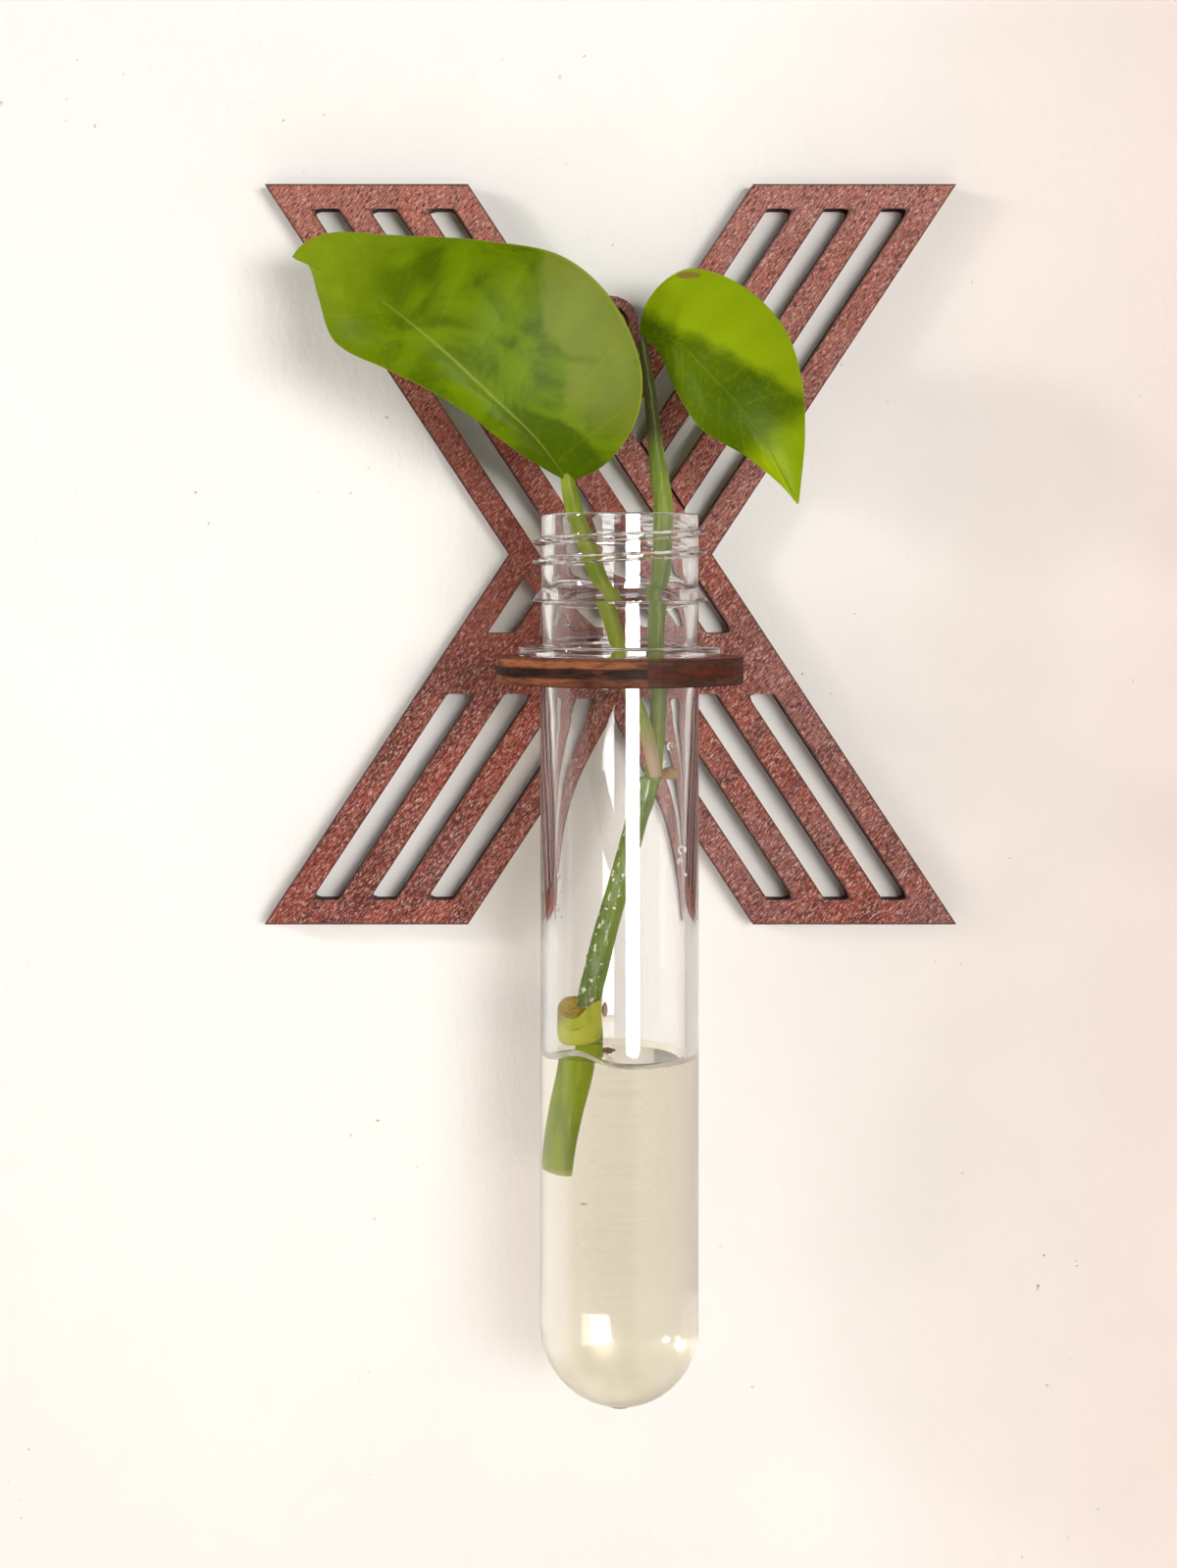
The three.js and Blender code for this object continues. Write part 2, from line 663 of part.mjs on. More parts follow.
addPiece("stem_lower", geometryOf(stalk(stemLowerRoute, 6)), finish(0x7d9a1c, 0.4));
addPiece("stem_upper", geometryOf(stalk(stemUpperRoute, 12)), finish(0x6d8f33, 0.4));
addPiece("petiole_stub", petioleStub(), finish(0xa9ad35, 0.5));
const budPlace = from(lowerNode, lowerNode[3] + budHalfWidth, -0.2, 5.2);
addPiece("bud", smallBody(budPlace, [budHalfWidth, 0.6, 1.1], 0.1), finish(0x8a5a3a, 0.6));
const rootPlace = from(lowerNode, lowerNode[3] + rootHalfLength + 0.1, -0.1, -1.6);
addPiece("root_nub", smallBody(rootPlace, [rootHalfLength, 0.5, 0.5], 0.1), finish(0x7a3a28, 0.6));
addPiece("aerial_root", geometryOf(stalk(aerialRootRoute, 5)), finish(0x8a6a2a, 0.7));
addPiece("petiole_right", geometryOf(stalk(petioleRightRoute, 20)), finish(0x7c9c35, 0.4));
addPiece("petiole_left", geometryOf(stalk(petioleLeftRoute, 16)), finish(0x8fae3a, 0.4));
addPiece("leaf_left", blade(leftMidrib, leftUpperMargin, leftLowerMargin), finish(0x6f9a12, 0.35));
addPiece("leaf_right", blade(rightMidrib, rightLowerMargin, rightUpperMargin), finish(0x78a016, 0.35));

export default station;
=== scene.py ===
# %% [markdown]
# # A propagation station, dressed for the camera
# The real object is a stained plywood plate, cut by laser, that hangs flat on a wall. A round
# shelf of the same sheet carries a clear threaded test tube with water and one rooted cutting.
# The solids come from the CAD model. This lesson keeps the six plies, because their shape is
# already right, and gives them stained wood. The tube, the water and the plant are modelled
# again here, because glass-clear walls and leaves need more detail than a CAD solid has.

import bisect
import math
import random

import bpy
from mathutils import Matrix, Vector


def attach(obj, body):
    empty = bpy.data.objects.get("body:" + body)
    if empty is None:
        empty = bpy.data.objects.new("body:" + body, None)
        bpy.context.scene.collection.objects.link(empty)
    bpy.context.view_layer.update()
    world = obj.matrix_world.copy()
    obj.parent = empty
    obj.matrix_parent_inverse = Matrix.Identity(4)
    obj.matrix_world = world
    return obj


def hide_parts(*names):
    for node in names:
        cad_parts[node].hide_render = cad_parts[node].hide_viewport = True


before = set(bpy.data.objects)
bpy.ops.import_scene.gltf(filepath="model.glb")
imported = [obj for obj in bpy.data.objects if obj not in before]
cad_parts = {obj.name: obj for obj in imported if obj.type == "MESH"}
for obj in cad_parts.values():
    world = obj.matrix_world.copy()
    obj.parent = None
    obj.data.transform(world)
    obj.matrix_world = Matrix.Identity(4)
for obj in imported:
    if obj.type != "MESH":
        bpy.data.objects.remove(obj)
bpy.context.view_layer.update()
scene = bpy.context.scene

# %% [markdown]
# ## Lengths and places
# The CAD works in millimetres and Blender in metres. The tube's axis and the height of its rim
# are the natural zero for everything in the tube, so one helper turns such a place into a point
# in the scene, and the numbers below stay easy to compare with a ruler.

# %% Places in the tube
MM = 0.001
TUBE_Y = -27.4
RIM_Z = -32.4


def in_tube(x, y, z):
    """A point given in millimetres from the tube's axis and from its rim, in metres."""
    return Vector((x, TUBE_Y + y, RIM_Z + z)) * MM


def from_axis(point):
    """Where a mesh's point is, in millimetres: x and y from the tube's axis, and its height."""
    return point.co.x / MM, point.co.y / MM - TUBE_Y, point.co.z / MM


print("Middle of the rim", tuple(round(value, 4) for value in in_tube(0, 0, 0)))

# %% [markdown]
# ## Selecting, settling and finishing
# An operator acts on all that is selected, so each piece starts from an empty selection. When a
# piece is done, its place is applied to its mesh, so that its origin is the scene's origin. A
# pattern on Object coordinates then stays where it is when the piece is moved by a joint.

# %% Helpers for every piece
def mode(name):
    bpy.ops.object.mode_set(mode=name)


def deselect():
    if bpy.context.mode != "OBJECT":
        mode("OBJECT")
    bpy.ops.object.select_all(action="DESELECT")


def pick(piece):
    deselect()
    piece.select_set(True)
    bpy.context.view_layer.objects.active = piece


def settle(piece):
    pick(piece)
    bpy.ops.object.transform_apply(location=True, rotation=True, scale=True)


def smooth(piece, degrees):
    pick(piece)
    bpy.ops.object.shade_smooth_by_angle(angle=math.radians(degrees))


def edit_all(piece):
    pick(piece)
    mode("EDIT")
    bpy.ops.mesh.select_all(action="SELECT")


def close_seams(piece, reach):
    """Merge doubled points, then turn every face outwards."""
    edit_all(piece)
    bpy.ops.mesh.remove_doubles(threshold=reach)
    bpy.ops.mesh.normals_make_consistent(inside=False)
    mode("OBJECT")


def wear(piece, material):
    piece.data.materials.clear()
    piece.data.materials.append(material)


# %% [markdown]
# ## The camera
# The photograph is taken from the left of the tube and level with the plate's middle, from about
# 40 cm, with the frame shifted so that the verticals stay upright. A shifted lens does the same
# here: the camera looks straight at the wall and the frame slides across it.

# %% Set up the camera
lens = bpy.data.cameras.new("camera")
lens.lens = 55.8
lens.shift_x = 0.079
lens.shift_y = -0.138
lens.clip_start = 0.01
camera = bpy.data.objects.new("camera", lens)
camera.location = (-0.0245, -0.4122, -0.0409)
camera.rotation_euler = (math.radians(90), 0, 0)
scene.collection.objects.link(camera)
scene.camera = camera
print("Camera", round(-camera.location.y, 3), "m from the wall")

# %% [markdown]
# ## Mixing a material in code
# Every material is a small sum of patterns. The class below wraps one output socket, so that
# plain Python expressions such as 1 - mask add the Math nodes by themselves. Any other node
# comes from one method, which takes the node's type without the ShaderNode in front of it, its
# settings and its inputs.

# %% The Tone class
def sign(operation):
    """A sign of Python, such as + or <, that adds a Math node."""
    return lambda self, *others: self.math(operation, self, *others)


class Tone:
    def __init__(self, tree, socket=None):
        self.tree = tree
        self.socket = socket

    def node(self, kind, settings=None, inputs=None, output=0):
        made = self.tree.nodes.new("ShaderNode" + kind)
        for name, value in (settings or {}).items():
            setattr(made, name, value)
        for name, value in (inputs or {}).items():
            socket = made.inputs[name]
            if isinstance(value, Tone):
                self.tree.links.new(value.socket, socket)
            elif socket.type == "RGBA" and len(value) == 3:
                socket.default_value = (*value, 1)
            else:
                socket.default_value = value
        return Tone(self.tree, made.outputs[output])

    def math(self, operation, *values):
        return self.node("Math", {"operation": operation}, dict(enumerate(values)))

    def __rsub__(self, other):
        return self.math("SUBTRACT", other, self)

    __add__ = __radd__ = sign("ADD")
    __sub__ = sign("SUBTRACT")
    __mul__ = __rmul__ = sign("MULTIPLY")
    __gt__ = sign("GREATER_THAN")
    __lt__ = sign("LESS_THAN")
    __abs__ = sign("ABSOLUTE")
    either = sign("MAXIMUM")
    fraction = sign("FRACT")

    def fade(self, start, end):
        """0 below start and 1 above end, with soft ends. Start may be the larger one."""
        settings = {"interpolation_type": "SMOOTHSTEP"}
        inputs = {"Value": self, "From Min": start, "From Max": end}
        return self.node("MapRange", settings, inputs)

    def mix(self, first, second):
        """This tone as a mask between two colours."""
        settings = {"data_type": "RGBA"}
        return self.node("Mix", settings, {0: self, 6: first, 7: second}, 2)

    def stretch(self, scale, location=(0, 0, 0)):
        """This place, moved and then stretched, for the pattern that reads it."""
        inputs = {"Vector": self, "Scale": scale, "Location": location}
        return self.node("Mapping", None, inputs)

    def noise(self, size, detail=2.0, roughness=0.5, distortion=0.0):
        """Cloudy noise whose clouds are about size metres wide."""
        inputs = {"Vector": self, "Scale": 1 / size, "Detail": detail}
        inputs.update({"Roughness": roughness, "Distortion": distortion})
        return self.node("TexNoise", None, inputs)

    def axes(self):
        return [self.node("SeparateXYZ", None, {"Vector": self}, i) for i in range(3)]

    def coordinate(self, name):
        return self.node("TexCoord", output=name)

    def ray(self, name):
        return self.node("LightPath", output=name)


# %% [markdown]
# A finish starts as one Principled shader. The first helper makes it and gives back what the
# patterns are mixed with, and the others link a result to it: a value, a raised surface, or a
# mask for the rays that should not see the piece at all.

# %% Start a finish
def new_finish(name, **plain):
    """A material, its shader, its starting Tone and the place on the piece."""
    material = bpy.data.materials.new(name)
    material.use_nodes = True
    tree = material.node_tree
    shader = tree.nodes["Principled BSDF"]
    for socket, value in plain.items():
        shader.inputs[socket.replace("_", " ")].default_value = value
    tone = Tone(tree)
    return material, shader, tone, tone.coordinate("Object")


def lit(colour, times, plus=0.0):
    """A colour, brighter or darker by a factor, with an even part added."""
    return tuple(value * times + plus for value in colour)


def feed(tone, shader, socket):
    tone.tree.links.new(tone.socket, shader.inputs[socket])


def emboss(height, shader, depth, strength=1.0):
    """Raise the surface by height times depth, in metres."""
    inputs = {"Height": height, "Distance": depth, "Strength": strength}
    feed(height.node("Bump", None, inputs), shader, "Normal")


def coat(shader, colour, roughness, height, depth, strength=1.0):
    """The colour, the roughness and the raised surface of a finish, all at once."""
    feed(colour, shader, "Base Color")
    feed(roughness, shader, "Roughness")
    emboss(height, shader, depth, strength)


def see_through(tone, mask, shader, tint=(1, 1, 1)):
    """Where the mask is 1, rays pass straight through, dimmed by a tint."""
    body = Tone(tone.tree, shader.outputs[0])
    clear = tone.node("BsdfTransparent", None, {"Color": tint})
    mixed = tone.node("MixShader", None, {0: mask, 1: body, 2: clear})
    tone.tree.links.new(mixed.socket, tone.tree.nodes["Material Output"].inputs["Surface"])


# %% [markdown]
# ## The wall, the floor and the light
# The plate hangs on a cream plaster wall. The wall is only there for the camera and for the
# shadows: seen from behind it is clear, so the back of the plate can be looked at too. A softbox
# stands to the right of the camera, level with the shelf, and shades the right side of each slot.
# A wide one far to the left fills those shadows, as a bright side wall does, and a small lamp
# beside it gives the crisp, faint ones. A tall panel is only there to be mirrored: it is the
# white line that runs down the tube.

# %% Plaster for the wall
def plaster(name, colour, painted_shade_colour):
    """Uneven plaster, with a second colour at the right and low down that is painted shade."""
    material, shader, tone, place = new_finish(name, Roughness=0.9, Specular_IOR_Level=0.18)
    x, _, z = place.axes()
    # Painted shade: towards the right the plaster turns darker and pinker, where the light from the
    # left falls off, and a little of the same colour is mixed in towards the bottom.
    to_right = x.fade(0, 110 * MM).either(z.fade(-70 * MM, -220 * MM) * 0.3)
    cloud = place.noise(0.09, 4, 0.6)
    trowel = place.stretch((1, 1, 0.45)).noise(0.004, 5, 0.65)
    base = to_right.mix(colour, painted_shade_colour)
    darker = to_right.mix(lit(colour, 0.955), lit(painted_shade_colour, 0.955))
    base = cloud.fade(0.35, 0.65).mix(darker, base)
    pits = place.noise(0.0016, 2, 0.5).fade(0.735, 0.775)
    patches = place.stretch((1, 1, 1), (3.1, 0, 1.7)).noise(0.035, 3, 0.6).fade(0.5, 0.62)
    speck = pits * patches
    feed((speck * 0.75).mix(base, (0.30, 0.21, 0.15)), shader, "Base Color")
    emboss(trowel + speck * -0.6, shader, 0.25 * MM)
    return material, shader, tone


wall_paint, wall_shader, wall_tone = plaster(
    "wall_plaster", (0.935, 0.912, 0.880), (0.812, 0.705, 0.655)
)

# %% [markdown]
# From behind, and for the rays that look for a lamp, the wall is clear: Backfacing and Light
# Path say which ray is looking. The floor is clear for rays that the tube has mirrored, or its
# bright reflection would lie over the stem like a veil.

# %% Wall and floor
WALL_GAP = 0.3 * MM
FLOOR_Z = -0.26
FLOOR_COLOUR = (0.86, 0.83, 0.80)
behind = wall_tone.node("NewGeometry", output="Backfacing")
see_through(wall_tone, behind.either(wall_tone.ray("Is Shadow Ray")), wall_shader)

floor_paint, floor_shader, floor_tone = plaster("floor_plaster", FLOOR_COLOUR, FLOOR_COLOUR)
see_through(floor_tone, floor_tone.ray("Glossy Depth") > 0.5, floor_shader)


def plane(name, location, width, depth, upright, material):
    deselect()
    bpy.ops.mesh.primitive_plane_add(size=1, location=location)
    piece = bpy.context.object
    piece.name = name
    piece.rotation_euler = (math.radians(90) if upright else 0, 0, 0)
    piece.scale = (width, depth, 1)
    settle(piece)
    wear(piece, material)
    return piece


wall = plane("wall", (0, WALL_GAP, 0.10), 1.6, 0.72, True, wall_paint)
floor = plane("floor", (0, 0, FLOOR_Z), 8, 8, False, floor_paint)
print("Wall", tuple(round(value, 3) for value in wall.dimensions))


# %% [markdown]
# Lamps are placed by where they are seen from the tube: an angle to the right of straight
# ahead, a height angle and a distance. All of them look at the middle of the tube. Some only
# light the room and aren't mirrored, and some are only there to be mirrored.

# %% Lamps
AIM = Vector((0, -0.02, -0.06))


def lamp(name, right, up, distance, size, power, tint=(1, 1, 1), mirrored=True, soft=True,
         back=False):
    light = bpy.data.lights.new(name, "AREA")
    light.shape = "RECTANGLE"
    light.size, light.size_y = size
    light.energy = power
    light.color = tint
    shining = bpy.data.objects.new(name, light)
    right, up = math.radians(right), math.radians(up)
    level = math.cos(up) * distance
    forward = 1 if back else -1
    shining.location = AIM + Vector(
        (math.sin(right) * level, forward * math.cos(right) * level, math.sin(up) * distance)
    )
    shining.rotation_euler = (AIM - shining.location).to_track_quat("-Z", "Y").to_euler()
    scene.collection.objects.link(shining)
    shining.visible_camera = False
    shining.visible_glossy = shining.visible_transmission = mirrored
    shining.visible_diffuse = soft
    return name


lamps = [
    lamp("window", 20, 4, 1.2, (0.50, 0.26), 8.65, (1.0, 0.985, 0.965), mirrored=False),
    lamp("side_wall", -65, 5, 2.2, (1.5, 1.5), 22.3, (1.0, 0.985, 0.96), mirrored=False),
    lamp("window_line", 15.5, 12, 0.65, (0.231, 0.673), 26.0, soft=False),
    lamp("glint", -65, 18, 1.1, (0.10, 0.10), 10.0, (1.0, 0.97, 0.93), soft=False),
    lamp("spark", -66, 16, 1.1, (0.06, 0.06), 2.9, (1.0, 0.97, 0.93)),
    lamp("back_fill", 10, 15, 1.3, (1.2, 1.2), 11.0, mirrored=False, back=True),
]
print("Lamps", lamps)

# %% [markdown]
# The room is pale where a ray sees it directly or through the tube. What the tube mirrors of
# the room behind the camera is dim, and brighter to the right, beside the window. The soft
# light that it sheds on everything is much weaker than it looks.

# %% The room around
world = bpy.data.worlds.new("studio")
scene.world = world
world.use_nodes = True
sky = Tone(world.node_tree)
mirrored = sky.ray("Is Glossy Ray")
seen = sky.ray("Is Camera Ray").either(mirrored).either(sky.ray("Is Transmission Ray"))
to_right, to_back, _ = sky.coordinate("Generated").axes()
behind_camera = to_back.fade(0.05, -0.22) * mirrored * (sky.ray("Glossy Depth") < 1.5)
dim = to_right.fade(0.15, 0.50).mix((0.19, 0.185, 0.18), (0.72, 0.71, 0.69))
pale = behind_camera.mix((0.95, 0.93, 0.91), dim)
level = seen.mix((0.076, 0.071, 0.066), pale)
feed(level, sky.tree.nodes["Background"], "Color")
print("Room mixed with", len(sky.tree.nodes), "nodes")

# %% [markdown]
# ## Stained plywood
# The sheet is thin plywood with a mahogany stain. Its face shows fine open pores that run along
# the leaning grain and streaks of darker and redder wood. Pale specks among the pores are
# painted glints of the window's light. Greyer areas are partly where the stain took differently
# and, more of them towards the right, painted sheen. The face is lighter towards the top and the
# left, which is painted light. The laser leaves every cut wall charred nearly black. Which of the
# two a point shows depends on the way that it faces, so one material reads the normal.

# %% Mix the mahogany face
STAIN = (0.250, 0.043, 0.024)
STAIN_DARK = (0.080, 0.013, 0.008)
STAIN_PINK = (0.47, 0.140, 0.092)
STAIN_GLINT = (0.72, 0.46, 0.39)
STAIN_ORANGE = (0.370, 0.076, 0.028)
STAIN_VIOLET = (0.235, 0.105, 0.100)
STAIN_PAINTED_LIGHT = (0.54, 0.205, 0.150)
STAIN_NECK_SHADE = (0.150, 0.026, 0.014)


def mahogany(place, along, lean=0.0):
    """The colour and the height of the stained face. The grain runs along one axis, and may
    lean to the right by an angle in degrees."""
    tilt = (0, -math.radians(lean), 0)
    board = place.node("Mapping", None, {"Vector": place, "Rotation": tilt})

    def grain(share):
        scale = [1.0, 1.0, 1.0]
        scale[along] = share
        return scale

    streaks = board.stretch(grain(0.16)).noise(0.0045, 4, 0.6, 0.6)
    patches = board.stretch(grain(0.5)).noise(0.028, 3, 0.55, 0.4)
    pores = board.stretch(grain(0.24)).noise(0.00026, 2, 0.75)
    painted_glints = board.stretch(grain(0.32), (0.7, 0.3, 0.1)).noise(0.00022, 1, 0.7)

    colour = streaks.fade(0.40, 0.62).mix(STAIN_DARK, STAIN)
    colour = (patches.fade(0.52, 0.66) * 0.75).mix(colour, STAIN_ORANGE)
    # Greyer areas are partly where the stain took differently; their weight grows towards the right
    # as painted sheen.
    greyer = place.stretch((1, 1, 1), (0.31, 0.2, 0.17)).noise(0.022, 3, 0.6).fade(0.40, 0.62)
    to_right = place.axes()[0].fade(-45 * MM, 40 * MM)
    colour = (greyer * (to_right * 0.6 + 0.15)).mix(colour, STAIN_VIOLET)
    # Painted light: the face is lighter towards the top and the left, where more light falls on it.
    upper = place.axes()[2].fade(-70 * MM, 45 * MM) * (1 - to_right * 0.5)
    colour = (upper * 0.62).mix(colour, STAIN_PAINTED_LIGHT)
    colour = (pores.fade(0.48, 0.62) * 0.66).mix(colour, STAIN_PINK)
    # Painted glints: pale specks where the window's light catches the open pores.
    colour = (painted_glints.fade(0.56, 0.66) * 0.62).mix(colour, STAIN_GLINT)
    colour = (pores.fade(0.48, 0.38) * 0.95).mix(colour, STAIN_DARK)
    return colour, pores


# %% [markdown]
# The laser's heat also browns a thin rim of the face beside each cut, and the same dark rim
# stands in for the shade along the edges: it is partly real browning and partly painted shade.
# Both strokes lean by the same share of their height, so a point's distance across a stroke says
# how near it is to an edge or a slot. The slots stop at the ends of the strokes and at the solid
# band behind the shelf. All lengths are half ones, measured from the plate's middle.

# %% Cut walls and the burnt, shaded rim
CHAR = (0.018, 0.008, 0.006)
CHAR_BROWN = (0.045, 0.018, 0.010)
PLATE_MIDDLE = -38.65 * MM
PLATE_HALF = 62.15 * MM
STROKE_LEAN = 0.6597
STROKE_HALF = 17.05 * MM
SLOT_TOP = 58.05 * MM
BAR_MIDDLE = 4.825 * MM
BAR_HALF = 2.575 * MM
BAND_MIDDLE = -18.35 * MM
BAND_HALF = 5.1 * MM
RIM_WIDTH = 0.42 * MM


def charred(place):
    soot = place.stretch((1, 0.5, 1)).noise(0.0011, 3, 0.6)
    return soot.fade(0.40, 0.66).mix(CHAR, CHAR_BROWN)


def burnt_and_shaded_rim(place):
    """1 along the cut edges of both strokes: laser browning, and painted shade."""
    x, _, z = place.axes()
    level = z - PLATE_MIDDLE

    def up_to(half):
        return half - RIM_WIDTH, half - RIM_WIDTH * 0.4

    open_here = (abs(level) < SLOT_TOP) * (abs(level - BAND_MIDDLE) > BAND_HALF)
    falling, rising = x + level * STROKE_LEAN, x - level * STROKE_LEAN
    rim = abs(level).fade(*up_to(PLATE_HALF))
    for stroke, other in ((falling, rising), (rising, falling)):
        off = abs(stroke)
        line = abs(abs(off - 2 * BAR_MIDDLE) - BAR_MIDDLE).fade(*up_to(BAR_HALF))
        cut_here = open_here.either(off > STROKE_HALF - BAR_HALF)
        in_arm = (abs(other) > STROKE_HALF) * (off < STROKE_HALF + 0.1 * MM)
        rim = rim.either(line * cut_here * in_arm)
    return rim


# %% Plate
GRAIN_LEAN = 40
NECK_SHADE_X, NECK_SHADE_Z = -20 * MM, -36 * MM
NECK_SHADE_REACH, NECK_SHADE_CORE = 32 * MM, 13 * MM


def dress(node, material):
    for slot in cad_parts[node].material_slots:
        slot.material = material


def plate_finish():
    material, shader, tone, place = new_finish("stained_plate", Specular_IOR_Level=0.06)
    on_face = abs(tone.coordinate("Normal").axes()[1]) > 0.5
    colour, pores = mahogany(place, 2, GRAIN_LEAN)
    x, _, z = place.axes()
    # Painted shade: a round patch left of the tube's neck is darker, where the neck, the shelf and
    # the broad leaf shade the plate.
    dx, dz = x - NECK_SHADE_X, z - NECK_SHADE_Z
    painted_neck_shade = (dx * dx + dz * dz).fade(NECK_SHADE_REACH**2, NECK_SHADE_CORE**2)
    colour = (painted_neck_shade * 0.35).mix(colour, STAIN_NECK_SHADE)
    colour = (burnt_and_shaded_rim(place) * 0.75).mix(colour, CHAR_BROWN)
    colour = on_face.mix(charred(place), colour)
    coat(shader, colour, pores * -0.25 + 0.72, pores * on_face, 0.12 * MM)
    return material


plate_wood = plate_finish()
for node in ("plate_front_veneer", "plate_core", "plate_back_veneer"):
    dress(node, plate_wood)
print("Plate plies dressed")

# %% [markdown]
# The shelf lies flat, so its faces look up and down and its round edge is what the camera sees.
# The laser chars the plies differently: the core's end grain drinks the heat and turns black,
# while the outer plies keep brown streaks and get a dark rim. To the right the edge is greyer,
# where its end grain runs the other way.

# %% Shelf and its round edge
EDGE_BROWN = (0.150, 0.046, 0.020)
EDGE_ORANGE = (0.340, 0.118, 0.050)
EDGE_GREY = (0.092, 0.038, 0.024)
EDGE_RED = (0.120, 0.024, 0.010)
SHELF_TOP = -54.9 * MM
PLY = 1.4 * MM
TURN_X = 3.0 * MM


def shelf_finish(name, is_core):
    material, shader, tone, place = new_finish(name, Specular_IOR_Level=0.028)
    on_face = abs(tone.coordinate("Normal").axes()[2]) > 0.5
    colour, pores = mahogany(place, 0)
    x, _, z = place.axes()
    side = x.fade(TURN_X - 0.4 * MM, TURN_X + 0.4 * MM)
    streak = place.stretch((0.22, 0.22, 1.0)).noise(0.0009, 4, 0.65, 0.4)
    scorch = place.stretch((0.5, 0.5, 0.5)).noise(0.006, 2, 0.5)
    if is_core:
        right = streak.fade(0.34, 0.62).mix(CHAR_BROWN, EDGE_RED)
        left = streak.fade(0.40, 0.66).mix(CHAR, CHAR_BROWN)
        left = (scorch.fade(0.56, 0.64) * streak.fade(0.45, 0.6) * 0.6).mix(left, EDGE_BROWN)
    else:
        depth = abs(z - (SHELF_TOP - 1.5 * PLY))
        rim = depth.fade(1.22 * PLY, 1.45 * PLY)
        glue = abs(depth - 0.5 * PLY).fade(0.16 * PLY, 0.03 * PLY)
        lower = z.fade(SHELF_TOP - 1.8 * PLY, SHELF_TOP - 2.1 * PLY)
        right = streak.fade(0.32, 0.66).mix(CHAR_BROWN, EDGE_GREY)
        right = (rim * 0.5).mix(right, CHAR)
        left = streak.fade(0.38, 0.66).mix(EDGE_BROWN, EDGE_ORANGE)
        left = (streak.fade(0.44, 0.34) * 0.6).mix(left, CHAR)
        left = (scorch.fade(0.50, 0.64) * 0.4).mix(left, CHAR_BROWN)
        left = (lower * 0.4).mix(left, CHAR_BROWN)
        left = (rim * 0.55 + glue * 0.5).mix(left, CHAR)
    colour = on_face.mix(side.mix(left, right), colour)
    height = streak * (1 - on_face) + pores * on_face
    coat(shader, colour, pores * -0.2 + 0.68, height, 0.12 * MM)
    return material


shelf_veneer = shelf_finish("stained_shelf", False)
shelf_middle = shelf_finish("shelf_core_edge", True)
dress("shelf_top_veneer", shelf_veneer)
dress("shelf_core", shelf_middle)
dress("shelf_bottom_veneer", shelf_veneer)
print("Shelf plies dressed")

# %% [markdown]
# ## Turning a profile
# The tube and the water are turned shapes. A plane is merged to one point, the point is
# extruded along the profile, and the line is spun round the tube's axis. A lathe in a workshop
# thinks the same way, and the wall gets its true thickness because the profile goes up outside
# and comes down inside.

# %% Spin a profile round the tube's axis
def arc(centre_r, centre_z, radius, start, stop, steps):
    """Points on an arc in the profile, with angles in degrees from outwards."""
    angles = [math.radians(start + (stop - start) * i / steps) for i in range(steps + 1)]
    return [(centre_r + radius * math.cos(a), centre_z + radius * math.sin(a)) for a in angles]


def turn(name, profile, steps):
    """Spin [radius, z] points, in millimetres, into a closed body."""
    points = [Vector((radius, TUBE_Y, z)) * MM for radius, z in profile]
    deselect()
    bpy.ops.mesh.primitive_plane_add(size=0.001, location=points[0])
    piece = bpy.context.object
    piece.name = name
    settle(piece)
    mode("EDIT")
    bpy.ops.mesh.select_mode(type="VERT")
    bpy.ops.mesh.select_all(action="SELECT")
    bpy.ops.mesh.merge(type="CENTER")
    bpy.ops.mesh.select_all(action="SELECT")
    for here, there in zip(points, points[1:]):
        bpy.ops.mesh.extrude_region_move(TRANSFORM_OT_translate={"value": there - here})
    bpy.ops.mesh.select_all(action="SELECT")
    axis_point = (0, TUBE_Y * MM, 0)
    bpy.ops.mesh.spin(steps=steps, angle=2 * math.pi, center=axis_point, axis=(0, 0, 1))
    mode("OBJECT")
    close_seams(piece, 0.004 * MM)
    print(name, len(piece.data.vertices), "points")
    return piece


# %% [markdown]
# ## The test tube
# It is a blown-bottle preform: a straight body with a round bottom and the gate's small disc
# under it, a wide ring that carries it on the shelf, a thin bead above, and a neck with a
# thread. The neck's rows are close together, so that the thread can be raised from them.

# %% Tube profile
THREAD_ROWS = 88
TUBE_STEPS = 216
tube_profile = [
    (0, -173.55), (1.6, -173.55), (1.95, -173.4),
    *arc(0, -160.7, 12.5, -80.56, 0, 26),
    (12.5, -120), (12.5, -80),
    *arc(12.8, -55.1, 0.3, 180, 90, 3),
    *arc(15.65, -54.45, 0.35, -90, 0, 4),
    *arc(15.65, -53.75, 0.35, 0, 90, 4),
    *arc(12.77, -53.1, 0.3, -90, -180, 3),
    *arc(12.67, -46.5, 0.2, 180, 90, 3),
    *arc(13.75, -46.05, 0.25, -90, 10, 4),
    (12.62, -44.25), (12.47, -44.0),
    *((12.47, -42.0 + 0.1 * row) for row in range(THREAD_ROWS)),
    *arc(12.07, -32.8, 0.4, 0, 90, 4),
    *arc(11.12, -32.65, 0.25, 90, 180, 3),
    (10.87, -45), (10.87, -58.4), (10.76, -60.2), (10.51, -63.6), (10.4, -65.4),
    (10.4, -100), (10.4, -130),
    *arc(0, -160.3, 10.4, 0, -90, 26),
]
tube_profile[-1] = (0, -170.7)
tube = turn("tube_clear", tube_profile, TUBE_STEPS)

# %% [markdown]
# The thread starts low and climbs two turns. Each point of the neck moves outwards by the
# ridge's height at its angle, with soft flanks and an end that runs out. It starts a quarter
# turn later than the angle that it is counted from.

